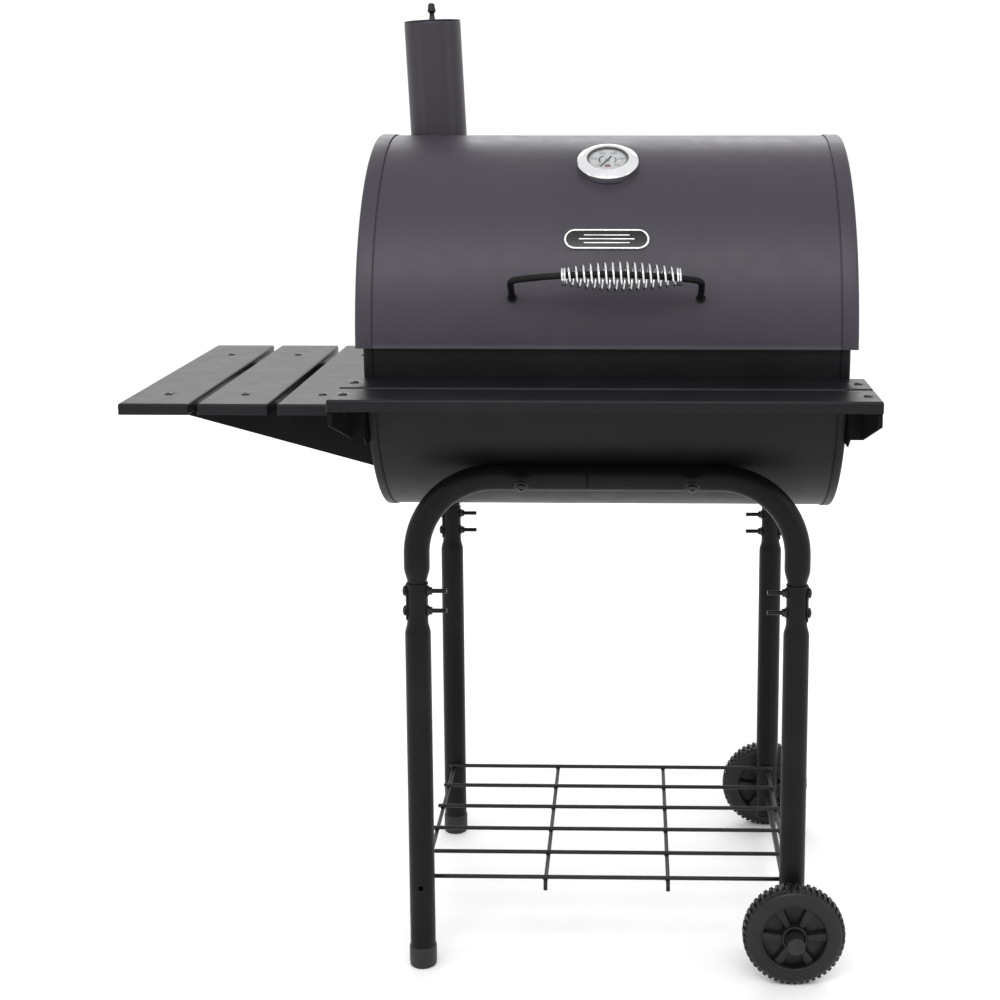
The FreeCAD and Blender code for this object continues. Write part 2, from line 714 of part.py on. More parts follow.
def side_shelf():
    for number in range(3):
        low = (side_slat_left(number), -d.side_half, d.side_top - d.slat_deep)
        middle = d.side_slat / 2
        slat("side_slat_%d" % (number + 1), d.side_slat, d.side_half * 2, low,
             [(middle, d.side_front_hole), (middle, d.side_rear_hole)])

    top = d.side_top - d.slat_deep
    wall = -d.box_half
    tip_deep, tray_inset = 6, 22
    for face, end in ((FRONT, "front"), (REAR, "rear")):
        y = side_bracket_y(face)
        web_y = y + (d.bracket_flange / 2) * face
        web_low = web_y if face < 0 else web_y - d.plate
        web = prism("XZ_Plane", [(-d.gusset_tip, top), (-d.gusset_tip, top - tip_deep),
                                 (wall, top - d.gusset_deep), (wall, top)], -web_low - d.plate, d.plate)
        flange_low = web_y if face < 0 else web_y - d.bracket_flange
        tray = block(d.side_reach - d.box_half - tray_inset, d.bracket_flange, d.plate,
                     (-d.side_reach + tray_inset, flange_low, top - d.plate))
        foot = block(d.plate, d.bracket_flange, d.gusset_deep,
                     (wall - d.plate, flange_low, top - d.gusset_deep))
        holes = [drill(bolt_hole, (wall, spot_y, spot_z), "x") for spot_y, spot_z in side_bolt_spots()]
        holes += [drill(screw_hole, (side_slat_left(n) + d.side_slat / 2, y, top), "z")
                  for n in range(3)]
        piece(cut(fused(web, tray, foot), *holes), "side_bracket_" + end)


def past_end(hand, gap, wide):
    """Lower X of a strip this wide that starts this far outside the end of the fire box."""
    return d.box_half + gap if hand > 0 else -d.box_half - gap - wide


def front_shelf():
    top = d.front_top
    wide = d.front_slat
    long = d.front_half * 2
    inner_y = -d.front_reach + wide + d.front_gap
    for name, y in (("front_slat_outer", -d.front_reach), ("front_slat_inner", inner_y)):
        inset = d.front_half - d.front_hole_x
        slat(name, long, wide, (-d.front_half, y, top - d.slat_deep),
             [(inset, wide / 2), (long - inset, wide / 2)])

    level = top - d.slat_deep
    front = -d.front_reach + d.slat_bend
    fold_y = -d.box_rad - 6
    back = -d.box_rad + 62
    nose = level - 16
    low = level - 61
    foot_low = level - 74
    lip = 5
    reach = d.bracket_flange - 1
    for hand, side in ((LEFT, "left"), (RIGHT, "right")):
        wall_x = past_end(hand, 0, reach)
        web = prism("YZ_Plane", [(front, level), (front, nose), (fold_y, low), (fold_y, level)],
                    past_end(hand, reach - d.plate, d.plate), d.plate)
        ledge = block(reach, fold_y + d.plate - front, d.plate, (wall_x, front, level - d.plate))
        fold = block(reach, d.plate, level - low, (wall_x, fold_y, low))
        nib = block(lip, d.plate, level - nose, (past_end(hand, reach - lip, lip), front, nose))
        foot = prism("YZ_Plane", [(fold_y, level), (fold_y, low), (fold_y + 20, foot_low),
                                  (back, foot_low), (back, level)],
                     past_end(hand, 0, d.plate), d.plate)
        holes = [drill(bolt_hole, (d.box_half * hand, y, z), "x") for y, z in front_bolt_spots()]
        for y in (-d.front_reach + wide / 2, inner_y + wide / 2):
            holes.append(drill(screw_hole, (d.front_hole_x * hand, y, level), "z"))
        piece(cut(fused(web, ledge, fold, nib, foot), *holes), "front_bracket_" + side)


def shelf_fasteners():
    seats = []
    for face in (FRONT, REAR):
        y = side_bracket_y(face)
        for number in range(3):
            seats.append((side_slat_left(number) + d.side_slat / 2, y, d.side_top))
    for hand in (LEFT, RIGHT):
        for y in (-d.front_reach + d.front_slat / 2, -d.front_reach + d.front_slat * 1.5 + d.front_gap):
            seats.append((d.front_hole_x * hand, y, d.front_top))
    screws = [bolt(d.screw_rad, d.screw_long, d.screw_head, d.screw_crown, seat, (0, 0, -1))
              for seat in seats]
    piece(group(screws), "shelf_screws")

    outer = d.box_half + d.plate
    bolts = [small_bolt((-outer, y, z), "x") for y, z in side_bolt_spots() + front_bolt_spots()]
    bolts += [small_bolt((outer, y, z), (-1, 0, 0)) for y, z in front_bolt_spots()]
    piece(group(bolts), "bracket_bolts")


# ---------------------------------------------------------------- hinges

def flap_bolt_spot(hand, step, radius):
    return on_barrel(d.hinge_x * hand + d.hinge_bolt_x * step, radius, 180 - d.flap_tilt)


def lower_leaf(hand):
    """Flat on the back of the fire box, swept out and up to the middle knuckle."""
    x = d.hinge_x * hand
    half, middle = d.hinge_wide / 2, d.knuckle_half
    leaf = block(d.hinge_wide, d.leaf_sheet, d.leaf_high, (x - half, d.box_rad, d.hinge_z - d.leaf_drop))
    arm = block(middle * 2, d.hinge_y - d.box_rad, d.leaf_sheet,
                (x - middle, d.box_rad, d.hinge_z - d.arm_drop))
    riser = block(middle * 2, d.leaf_sheet, d.arm_drop - d.leaf_sheet,
                  (x - middle, d.hinge_y - d.leaf_sheet / 2, d.hinge_z - d.arm_drop))
    knuckle = cylinder(d.knuckle_rad, middle * 2, (x - middle, d.hinge_y, d.hinge_z), "x")
    holes = [drill(bolt_hole, (x + d.hinge_bolt_x * step, d.box_rad, d.hinge_z - d.hinge_bolt_drop), "y")
             for step in (-1, 1)]
    return cut(fused(leaf, arm, riser, knuckle), hinge_bore(hand), *holes)


def upper_leaf(hand):
    """Lies on the back of the lid, with a knuckle each side of the middle one."""
    x = d.hinge_x * hand
    half, middle, play = d.hinge_wide / 2, d.knuckle_half, d.hole_gap
    seat = on_barrel(x - half, lid_shell_rad + d.sheet / 5, 180 - d.flap_foot)
    parts = [block(d.hinge_wide, d.leaf_sheet, d.flap_high, seat, turned("x", d.flap_tilt.number))]
    knuckle_long = half - middle - play
    root_y = d.lid_rad - 2
    for start in (x - half, x + middle + play):
        parts.append(block(knuckle_long, d.hinge_y - root_y, d.leaf_sheet,
                           (start, root_y, d.hinge_z + 4)))
        parts.append(cylinder(d.knuckle_rad, knuckle_long, (start, d.hinge_y, d.hinge_z), "x"))
    lid_drum = cylinder(lid_shell_rad, d.lid_half * 2, (-d.lid_half, 0, d.barrel_z), "x")
    holes = [drill(bolt_hole, flap_bolt_spot(hand, step, lid_shell_rad), flap_out) for step in (-1, 1)]
    return cut(fused(*parts), hinge_bore(hand), lid_drum, *holes)


def hinge_bore(hand):
    middle = (d.hinge_x * hand, d.hinge_y, d.hinge_z)
    return drill(d.hinge_pin + d.run_gap, middle, "x", d.hinge_wide * 2)


def hinge_parts():
    pins, lower_bolts, upper_bolts = [], [], []
    flap_top = lid_shell_rad + d.leaf_sheet * 2
    for hand in (LEFT, RIGHT):
        for step in (-1, 1):
            upper_bolts.append(small_bolt(flap_bolt_spot(hand, step, flap_top), flap_out * -1))
            x = d.hinge_x * hand + d.hinge_bolt_x * step
            seat = (x, d.box_rad + d.leaf_sheet, d.hinge_z - d.hinge_bolt_drop)
            lower_bolts.append(small_bolt(seat, (0, -1, 0)))
        pin_from = (d.hinge_x * hand - d.hinge_wide / 2 - d.hole_gap, d.hinge_y, d.hinge_z)
        pins.append(bolt(d.hinge_pin, d.hinge_wide + 4, 4, 2, pin_from, "x"))
    piece(group([lower_leaf(hand) for hand in (LEFT, RIGHT)]), "hinge_lower_leaves")
    piece(group([upper_leaf(hand) for hand in (LEFT, RIGHT)]), "hinge_upper_leaves")
    piece(group(pins), "hinge_pins")
    piece(group(lower_bolts), "hinge_lower_bolts")
    piece(group(upper_bolts), "hinge_upper_bolts")


# ---------------------------------------------------------------- lid furniture

def handle_foot():
    return on_barrel(0, lid_shell_rad, d.handle_lift)


def handle():
    """Bent rod with its two feet in the lid, and the loose coil that keeps the hand cool.

    The rod rises from each foot, turns a tight corner and bows gently outwards in between."""
    tilt = radial(d.handle_tilt)
    foot = handle_foot()
    half, bend, bow = d.handle_x.number, d.rod_bend.number, d.rod_bow.number
    rise = d.handle_reach.number - bend
    shoulder = half - bend
    bow_rad = (shoulder ** 2 + bow ** 2) / (2 * bow)
    slope = math.asin(shoulder / bow_rad)
    middle = (slope + math.pi / 2) / 2

    def on_corner(heading, hand):
        return FreeCAD.Vector(hand * (shoulder + bend * math.sin(heading)), rise + bend * math.cos(heading), 0)

    start = FreeCAD.Vector(-half, -d.rod_root.number, 0)
    crown = FreeCAD.Vector(0, rise + bow + bend, 0)
    upright = math.pi / 2
    edges = [
        Part.LineSegment(start, on_corner(upright, LEFT)),
        Part.Arc(on_corner(upright, LEFT), on_corner(middle, LEFT), on_corner(slope, LEFT)),
        Part.Arc(on_corner(slope, LEFT), crown, on_corner(slope, RIGHT)),
        Part.Arc(on_corner(slope, RIGHT), on_corner(middle, RIGHT), on_corner(upright, RIGHT)),
        Part.LineSegment(on_corner(upright, RIGHT), FreeCAD.Vector(half, start.y, 0)),
    ]
    path = Part.Wire([edge.toShape() for edge in edges])
    ring = Part.Wire([Part.Circle(start, AXES["y"], d.rod_rad.number).toShape()])
    rod = doc.addObject("Part::Feature", "HandleRod")
    rod.Shape = path.makePipeShell([ring], True, False)
    plane = FreeCAD.Rotation(AXES["x"], tilt, AXES["x"].cross(tilt), "XYZ")
    piece(rod, "handle_rod", foot, plane)

    nut_high = 4
    nuts = [nut(d.rod_rad * 2, d.rod_rad, nut_high,
                shifted((d.handle_x * hand, foot[1], foot[2]), tilt, -nut_high), tilt * -1)
            for hand in (LEFT, RIGHT)]
    piece(group(nuts), "handle_nuts")

    coil(foot, tilt)


def coil(foot, tilt):
    """The wire coil's own outer and inner shape, swelling towards its middle, as one sleeve."""
    long = d.coil_left + d.coil_right
    end_in, end_out = d.coil_end_rad - d.coil_wire, d.coil_end_rad + d.coil_wire
    mid_in, mid_out = d.coil_mid_rad - d.coil_wire, d.coil_mid_rad + d.coil_wire
    sleeve = lathe([(end_in, 0), (end_out, 0), (mid_out, long / 2), (end_out, long), (end_in, long),
                    (mid_in, long / 2)])
    spot = shifted((-d.coil_left, foot[1], foot[2]), tilt, d.handle_reach + d.coil_hang)
    piece(sleeve, "handle_spring", spot, along("x"))


def gauge():
    out = radial(d.gauge_tilt)
    spin = FreeCAD.Rotation(AXES["x"], FreeCAD.Vector(1, 0, 0).cross(out) * -1, out, "XZY")
    seat = on_barrel(0, lid_shell_rad, d.gauge_tilt)
    rim, stem, neck = d.gauge_rad, d.gauge_stem, d.gauge_neck
    probe, shoulder, face_high = -60, -14, 10
    well = rim - 13
    case = lathe([
        (0, probe), (stem, probe), (stem, shoulder), (neck, shoulder), (neck, 0), (rim - 3, 0),
        (rim - 3, 5), (rim, 6.5), (rim, 9), (rim - 3, 12), (rim - 8, 14), (well + 0.5, 14.5),
        (well, face_high), (0, face_high),
    ])
    piece(case, "thermometer_case", seat, spin)
    dial_rad, dial_top, spindle, spindle_top = well - 0.4, face_high + 0.6, 1, face_high + 2.2
    piece(lathe([(0, face_high), (dial_rad, face_high), (dial_rad, dial_top), (spindle, dial_top),
                 (spindle, spindle_top), (0, spindle_top)]), "thermometer_dial", seat, spin)
    glass_rad, glass_low, glass_top = well + 0.1, face_high + 3, face_high + 3.9
    piece(lathe([(0, glass_low), (glass_rad, glass_low), (glass_rad, glass_top), (0, glass_top)]),
          "thermometer_glass", seat, spin)
    needle_low, needle_deep, blade_wide = face_high + 1.2, 0.7, 2.2
    hub = cylinder(spindle * 2.8, needle_deep, (0, 0, needle_low))
    blade = block(30, blade_wide, needle_deep, (-9, blade_wide / -2, needle_low))
    pointer = cut(fused(hub, blade), cylinder(spindle + d.run_gap, needle_deep, (0, 0, needle_low)))
    piece(pointer, "thermometer_needle", seat, spin.multiply(turned("z", 240)))


def badge():
    out = radial(d.badge_tilt)
    spin = FreeCAD.Rotation(AXES["x"], FreeCAD.Vector(1, 0, 0).cross(out) * -1, out, "XZY")
    seat = on_barrel(0, lid_shell_rad, d.badge_tilt)
    body = new_body()
    sketch = new_sketch(body, "XY_Plane")
    long, high, corner = d.badge_long / 2, d.badge_high / 2, d.badge_high / 2
    outline(sketch, [
        (-long + corner, -high), (long - corner, -high, long - corner, 0, 1),
        (long - corner, high), (-long + corner, high, -long + corner, 0, 1),
    ])
    pad(body, sketch, d.badge_thick)
    piece(body, "badge_plate", seat, spin)


def stack_screw_seats():
    """Seat and outward direction of the two screws that hold the chimney's foot tabs."""
    seats = []
    for face in (FRONT, REAR):
        y = d.stack_y + (d.stack_rad + d.stack_screw) * face
        out = FreeCAD.Vector(0, y.number, root(d.lid_rad * d.lid_rad - y * y).number).normalize()
        seats.append((shifted((-d.stack_x, 0, d.barrel_z), out, d.lid_rad), out))
    return seats


def chimney():
    """Straight stack with two foot tabs, a pierced top plate and a turning damper on its bolt."""
    lean = turned("y", -d.stack_lean.number)
    up = lean.multVec(AXES["z"])
    foot = (-d.stack_x, d.stack_y, stack_foot_z)
    long = (d.stack_top - stack_foot_z) / up.z
    rim = shifted(foot, up, long)
    tab, reach = d.stack_tab, d.stack_rad + d.stack_tab_long
    inside = cylinder(d.stack_rad - d.sheet, long - d.sheet, foot, up)
    pipe = cut(cylinder(d.stack_rad, long, foot, up), inside)
    windows = [drill(pivot_hole, rim, up)]
    for third in THIRDS:
        turn = math.radians(third + 30)
        outward = lean.multVec(FreeCAD.Vector(math.cos(turn), math.sin(turn), 0))
        windows.append(drill(d.damper_hole, shifted(rim, outward, d.damper_pitch), up))
    lid_drum = cylinder(lid_shell_rad, d.lid_half * 2, (-d.lid_half, 0, d.barrel_z), "x")
    tab_left = -d.stack_x - tab / 2
    tab_skin = cut(cylinder(d.lid_rad, tab, (tab_left, 0, d.barrel_z), "x"),
                   cylinder(lid_shell_rad, tab, (tab_left, 0, d.barrel_z), "x"))
    tab_area = cut(block(tab, reach * 2, long, (tab_left, d.stack_y - reach, stack_foot_z)), inside)
    screw_holes = [drill(screw_hole, seat, out) for seat, out in stack_screw_seats()]
    whole = fused(cut(pipe, lid_drum), common(tab_skin, tab_area))
    piece(cut(whole, *windows, *screw_holes), "chimney_pipe")

    disc = cylinder(d.stack_rad, d.plate)
    lever = block(d.damper_tab_long, d.damper_tab, d.plate,
                  (-d.stack_rad - d.damper_tab_long + 1, d.damper_tab / -2, 0))
    holes = [drill(pivot_hole, (0, 0, 0), "z")]
    for third in THIRDS:
        turn = third + 30
        spot = (cosine(turn) * d.damper_pitch, sine(turn) * d.damper_pitch, 0)
        holes.append(drill(d.damper_hole, spot, "z"))
    piece(cut(fused(disc, lever), *holes), "chimney_damper", shifted(rim, up, d.hole_gap), lean)

    # turned knob above the damper, washer and nut below the top plate, all on one shank
    shank_low, washer_low, sleeve_low, knob_low, crown_low = -12, 2.1, 3.3, 11.3, 20.3
    knob_rad, washer_rad, sleeve_rad = 6, 7, 4.2
    stem = cylinder(d.bolt_rad, crown_low - shank_low, (0, 0, shank_low))
    washer = cylinder(washer_rad, sleeve_low - washer_low, (0, 0, washer_low))
    sleeve = cylinder(sleeve_rad, knob_low - sleeve_low, (0, 0, sleeve_low))
    knob = cylinder(knob_rad, crown_low - knob_low, (0, 0, knob_low))
    crown = cone(knob_rad, knob_rad / 2, 5.5, (0, 0, crown_low))
    locknut = cylinder(knob_rad, 4, (0, 0, -d.sheet - 4))
    piece(fused(stem, washer, sleeve, knob, crown, locknut), "damper_bolt", rim, lean)
    screws = [bolt(d.screw_rad, 10, d.screw_head - 1, d.screw_crown, seat, out * -1)
              for seat, out in stack_screw_seats()]
    piece(group(screws), "chimney_screws")


# ---------------------------------------------------------------- inside and vent

def wire_grate(low_x, long, half_y, level, bar_rad, count, rails):
    """Rails along X with evenly spaced bars welded across them."""
    weld = 0.6
    rods = [cylinder(d.grate_rod, long, (low_x, y, level), "x") for y in rails]
    for number in range(count):
        x = low_x + d.grate_rod + (long - d.grate_rod * 2) * (number / (count - 1))
        bar_at = (x, -half_y, level + d.grate_rod + bar_rad - weld)
        rods.append(cylinder(bar_rad, half_y * 2, bar_at, "y"))
    return fused(*rods)


def grates():
    # two cooking grates side by side
    middle_gap, rail_inset = 2, 5
    for hand, side in ((LEFT, "left"), (RIGHT, "right")):
        low_x = middle_gap if hand > 0 else -middle_gap - d.grate_long
        rails = (-d.grate_half_y + rail_inset, 0, d.grate_half_y - rail_inset)
        piece(wire_grate(low_x, d.grate_long, d.grate_half_y, d.grate_z, d.grate_bar, 17, rails),
              "cooking_grate_" + side)
    # ledges that carry them, welded along the front and back walls
    ledges = []
    ledge_top = d.grate_z - d.grate_rod
    ledge_half, wall_gap, side_wide = d.box_half - 4, 1, 220
    for face in (FRONT, REAR):
        inner_y = d.grate_half_y - 14
        reach = root(box_inner_rad * box_inner_rad - (d.barrel_z - ledge_top) * (d.barrel_z - ledge_top))
        start = inner_y if face > 0 else -reach + wall_gap
        shelf = block(ledge_half * 2, reach - wall_gap - inner_y, d.plate,
                      (-ledge_half, start, ledge_top - d.plate))
        drum = cylinder(box_inner_rad, d.box_half * 2, (-d.box_half, 0, d.barrel_z), "x")
        ledges.append(common(shelf, drum))
    for hand in (LEFT, RIGHT):
        inner_x = d.fire_half_x - 8
        x = inner_x if hand > 0 else -d.box_half + d.sheet
        ledges.append(block(d.box_half - d.sheet - inner_x, side_wide, d.plate,
                            (x, side_wide / -2, d.fire_z - d.grate_rod - d.plate)))
    piece(group(ledges), "grate_ledges")
    # fire grate, lower and coarser
    rails = (-d.fire_half_y + rail_inset, 0, d.fire_half_y - rail_inset)
    piece(wire_grate(-d.fire_half_x, d.fire_half_x * 2, d.fire_half_y, d.fire_z, d.grate_rod, 23, rails),
          "fire_grate")


def air_vent():
    """Turning disc over the three air holes in the right end of the fire box."""
    start = d.box_half + d.hole_gap
    disc = cylinder(d.vent_rad, d.plate)
    wide, low = d.vent_tab, d.vent_tab / -2
    tab = block(wide, wide, d.plate, (d.vent_rad - 1, low, 0))
    lip = block(d.plate, wide, 9, (d.vent_rad + wide - 2, low, 0))
    holes = [drill(d.vent_hole, (cosine(turn) * d.vent_pitch, sine(turn) * d.vent_pitch, 0), "z")
             for turn in THIRDS]
    holes.append(drill(pivot_hole, (0, 0, 0), "z"))
    shutter = cut(fused(disc, tab, lip), *holes)
    facing = FreeCAD.Rotation(AXES["z"], AXES["y"] * -1, AXES["x"], "XZY")
    piece(shutter, "air_shutter", (start, 0, d.vent_z), facing)
    rivet_seat = (start + d.plate + d.hole_gap, 0, d.vent_z)
    piece(bolt(d.bolt_rad, 12, d.bolt_head, d.small_crown, rivet_seat, (-1, 0, 0)), "vent_rivet")


# ---------------------------------------------------------------- build, check and write

def check_and_write():
    doc.recompute()
    for thing in doc.Objects:
        if "Invalid" in thing.State or "Error" in thing.State:
            raise RuntimeError("%s (%s) failed: %s" % (thing.Name, thing.Label, thing.State))
    os.makedirs("parts", exist_ok=True)
    for label, thing in pieces.items():
        shape = thing.Shape
        if shape.isNull() or not shape.isValid() or not shape.Solids:
            raise RuntimeError(label + " has no valid solid")
        shape.exportStep(os.path.join("parts", label + ".step"))
    print(len(pieces), "pieces written")


fire_box()
lid()
legs()
frame_fasteners()
bottom_rack()
wheels()
side_shelf()
front_shelf()
shelf_fasteners()
hinge_parts()
handle()
gauge()
badge()
chimney()
grates()
air_vent()
check_and_write()
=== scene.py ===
"""The barrel charcoal grill's looks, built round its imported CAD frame. Metres, +Z up, front towards -Y."""
import json
import math

import bmesh
import bpy
from mathutils import Matrix, Vector


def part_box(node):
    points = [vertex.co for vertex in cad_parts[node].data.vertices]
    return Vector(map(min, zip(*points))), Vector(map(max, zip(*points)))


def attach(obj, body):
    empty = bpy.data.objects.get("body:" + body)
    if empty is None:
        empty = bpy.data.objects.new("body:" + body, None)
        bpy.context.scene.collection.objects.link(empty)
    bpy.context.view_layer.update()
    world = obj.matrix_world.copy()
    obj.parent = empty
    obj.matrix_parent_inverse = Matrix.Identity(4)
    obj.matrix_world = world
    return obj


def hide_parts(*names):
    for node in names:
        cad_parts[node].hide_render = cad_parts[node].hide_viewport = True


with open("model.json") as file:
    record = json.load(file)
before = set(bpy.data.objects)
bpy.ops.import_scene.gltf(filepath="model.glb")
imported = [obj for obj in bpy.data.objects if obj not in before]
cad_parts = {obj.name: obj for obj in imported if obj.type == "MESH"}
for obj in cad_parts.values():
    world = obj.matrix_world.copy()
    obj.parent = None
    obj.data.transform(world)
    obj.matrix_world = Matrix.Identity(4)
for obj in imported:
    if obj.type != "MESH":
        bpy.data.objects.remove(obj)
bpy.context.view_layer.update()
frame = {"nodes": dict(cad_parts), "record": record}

MM = 0.001
X = Vector((1, 0, 0))
Y = Vector((0, 1, 0))
Z = Vector((0, 0, 1))
LEFT, RIGHT, FRONT, REAR = -1, 1, -1, 1
SIDES = {"left": LEFT, "right": RIGHT}
FACES = {"front": FRONT, "rear": REAR}


# ---------------------------------------------------------------- places from the frame, and sizes

def middle(node):
    low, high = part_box(node)
    return (low + high) / 2


def extent(node):
    low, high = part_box(node)
    return high - low


def top(node):
    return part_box(node)[1].z


def bottom(node):
    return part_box(node)[0].z


CENTRE = Vector((middle("lid_shell").x, middle("lid_shell").y, bottom("lid_shell")))
LID_RAD = extent("lid_shell").y / 2
LID_HALF = (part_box("lid_end_right")[1].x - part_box("lid_end_left")[0].x) / 2
LID_BAND = extent("lid_end_left").x
BOX_RAD = extent("firebox_shell").y / 2
BOX_HALF = (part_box("firebox_end_right")[1].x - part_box("firebox_end_left")[0].x) / 2
BOX_BAND = extent("firebox_end_left").x
BOX_LIP = top("firebox_shell") - CENTRE.z
SHEET = 1.2 * MM
TUBE_RAD = extent("lower_leg_front_left").x / 2
LEG_X = (middle("lower_leg_front_right").x - middle("lower_leg_front_left").x) / 2
LEG_Y = (middle("lower_leg_rear_left").y - middle("lower_leg_front_left").y) / 2
BAR_Z = top("upper_leg_front_left") - TUBE_RAD
BEND_RAD = 100 * MM
NECK_TOP = top("lower_leg_front_left")
NECK_FOOT = bottom("leg_joint_plates") - 2 * MM
NECK_RAD = 13.5 * MM
SPIGOT_RAD = 11.9 * MM
SHOULDER = 16 * MM
SADDLE_X = (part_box("saddle_bolts")[1].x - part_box("saddle_bolts")[0].x) / 2 - 7 * MM
JOINT_LEVELS = (481 * MM, 507 * MM)
WIRE_RAD = 2.7 * MM
RACK_Z = 108 * MM
AIR_HOLE_RAD = 12.5 * MM
AIR_PITCH = 26 * MM
BADGE_TILT = 31
STACK_RAD = 38 * MM
STACK_X = CENTRE.x - 232 * MM
STACK_Y = CENTRE.y + 50 * MM
STACK_TOP = 1229 * MM
STACK_LEAN = math.radians(2.6)
STACK_UP = Vector((-math.sin(STACK_LEAN), 0, math.cos(STACK_LEAN)))
STACK_SIDE = Vector((math.cos(STACK_LEAN), 0, math.sin(STACK_LEAN)))
STACK_BASE = Vector((STACK_X, STACK_Y, CENTRE.z + 200 * MM))
STACK_LONG = (STACK_TOP - STACK_BASE.z) / STACK_UP.z
STACK_RIM = STACK_BASE + STACK_UP * STACK_LONG
VENT_RAD = 10 * MM
VENT_PITCH = 22 * MM


def radial(degrees):
    """Unit vector out of the barrel's side, this many degrees above the front horizontal."""
    angle = math.radians(degrees)
    return Vector((0, -math.cos(angle), math.sin(angle)))


def swing(first, second, degrees):
    """Unit vector turned this many degrees from one direction towards another that is square to it."""
    angle = math.radians(degrees)
    return first * math.cos(angle) + second * math.sin(angle)


GAUGE_OUT = radial(58.5)
GAUGE_UP = GAUGE_OUT.cross(X)
GAUGE_SEAT = CENTRE + GAUGE_OUT * LID_RAD


# ---------------------------------------------------------------- mesh building

def smooth_step(value):
    value = max(0.0, min(1.0, value))
    return value * value * (3 - 2 * value)


def mix(start, stop, share):
    return start + (stop - start) * share


def spread(start, stop, count):
    """This many even steps from start to stop, both ends included."""
    return [mix(start, stop, step / count) for step in range(count + 1)]


def axes_about(axis, zero=None):
    """Two unit vectors square to an axis, the first one towards zero."""
    axis = axis.normalized()
    first = (zero - axis * zero.dot(axis)).normalized() if zero else axis.orthogonal().normalized()
    return first, axis.cross(first)


def ring(at, first, second, radius, count):
    turns = [math.tau * step / count for step in range(count)]
    return [at + (first * math.cos(turn) + second * math.sin(turn)) * radius for turn in turns]


def arc(centre, radius, start, stop, count):
    """Points (across, up) along an arc, angles in degrees."""
    turns = [math.radians(turn) for turn in spread(start, stop, count)]
    return [(centre[0] + radius * math.cos(turn), centre[1] + radius * math.sin(turn)) for turn in turns]


def bent_path(corners, bend, steps):
    """Straight runs whose corners are rounded to the bend radius."""
    path = [corners[0]]
    for before, corner, after in zip(corners, corners[1:], corners[2:]):
        back = (before - corner).normalized()
        ahead = (after - corner).normalized()
        half = back.angle(ahead) / 2
        centre = corner + (back + ahead).normalized() * (bend / math.sin(half))
        first = (corner + back * (bend / math.tan(half)) - centre).normalized()
        last = (corner + ahead * (bend / math.tan(half)) - centre).normalized()
        path += [centre + first.slerp(last, share) * bend for share in spread(0, 1, steps)]
    path.append(corners[-1])
    return path


def beyond(across, up, *steps):
    """Outline points, each so many millimetres beyond one place."""
    return [(across + out * MM, up + rise * MM) for out, rise in steps]


def refine(path, longest):
    """The same path with no step longer than this."""
    finer = [path[0]]
    for start, stop in zip(path, path[1:]):
        count = max(1, math.ceil((stop - start).length / longest))
        finer += [start.lerp(stop, step / count) for step in range(1, count + 1)]
    return finer


class Form:
    """The points and faces of one piece, gathered in the row frame."""

    def __init__(self):
        self.points = []
        self.faces = []

    def loft(self, rings, around=True, cap_start=True, cap_end=True):
        """Skins rings that all have the same number of points."""
        first = len(self.points)
        count = len(rings[0])
        for points in rings:
            self.points += points
        for row in range(len(rings) - 1):
            for step in range(count if around else count - 1):
                here = first + row * count + step
                beside = first + row * count + (step + 1) % count
                self.faces.append((here, beside, beside + count, here + count))
        last = first + (len(rings) - 1) * count
        if cap_start:
            self.faces.append(tuple(range(first, first + count)))
        if cap_end:
            self.faces.append(tuple(range(last, last + count)))

    def lathe(self, outline, at, axis, segments, closed=False, zero=None):
        """Turns (radius, height) points about an axis. A closed outline makes a hollow ring."""
        first, second = axes_about(axis, zero)
        axis = axis.normalized()
        outline = outline + outline[:1] if closed else outline
        rings = [ring(at + axis * height, first, second, max(radius, 0), segments)
                 for radius, height in outline]
        self.loft(rings, cap_start=not closed, cap_end=not closed)

    def tube(self, path, radius, segments):
        """A round rod along a path; radius is one number or a function of the point."""
        tangents = []
        for before, after in zip(path[:1] + path, path[1:] + path[-1:]):
            tangents.append((after - before).normalized())
        tangents = [(one + two).normalized() for one, two in zip(tangents[:1] + tangents, tangents)]
        side = tangents[0].orthogonal().normalized()
        rings = []
        for point, tangent in zip(path, tangents):
            side = (side - tangent * side.dot(tangent)).normalized()
            size = radius(point) if callable(radius) else radius
            rings.append(ring(point, side, tangent.cross(side), size, segments))
        self.loft(rings)

    def block(self, centre, sizes, along, up):
        """A box with its own long and up directions."""
        across = up.cross(along)
        long, wide, high = [value / 2 for value in sizes]
        corners = ((-1, -1), (1, -1), (1, 1), (-1, 1))
        base = [centre + along * u * long + across * v * wide for u, v in corners]
        self.loft([[point - up * high for point in base], [point + up * high for point in base]])

    def press(self, spot, way, reach, depth):
        """Pushes the points near a spot along way, most in the middle."""
        for index, point in enumerate(self.points):
            share = 1 - (point - spot).length / reach
            if share > 0:
                self.points[index] = point + way * (depth * smooth_step(share))


def finished_mesh(name, form, crease):
    mesh = bpy.data.meshes.new(name)
    mesh.from_pydata([tuple(point) for point in form.points], [], form.faces)
    shape = bmesh.new()
    shape.from_mesh(mesh)
    bmesh.ops.remove_doubles(shape, verts=shape.verts, dist=0.005 * MM)
    bmesh.ops.dissolve_degenerate(shape, edges=shape.edges, dist=0.002 * MM)
    bmesh.ops.recalc_face_normals(shape, faces=shape.faces)
    shape.to_mesh(mesh)
    shape.free()
    shade(mesh, crease)
    return mesh


def shade(mesh, crease):
    mesh.polygons.foreach_set("use_smooth", [True] * len(mesh.polygons))
    mesh.set_sharp_from_angle(angle=math.radians(crease))


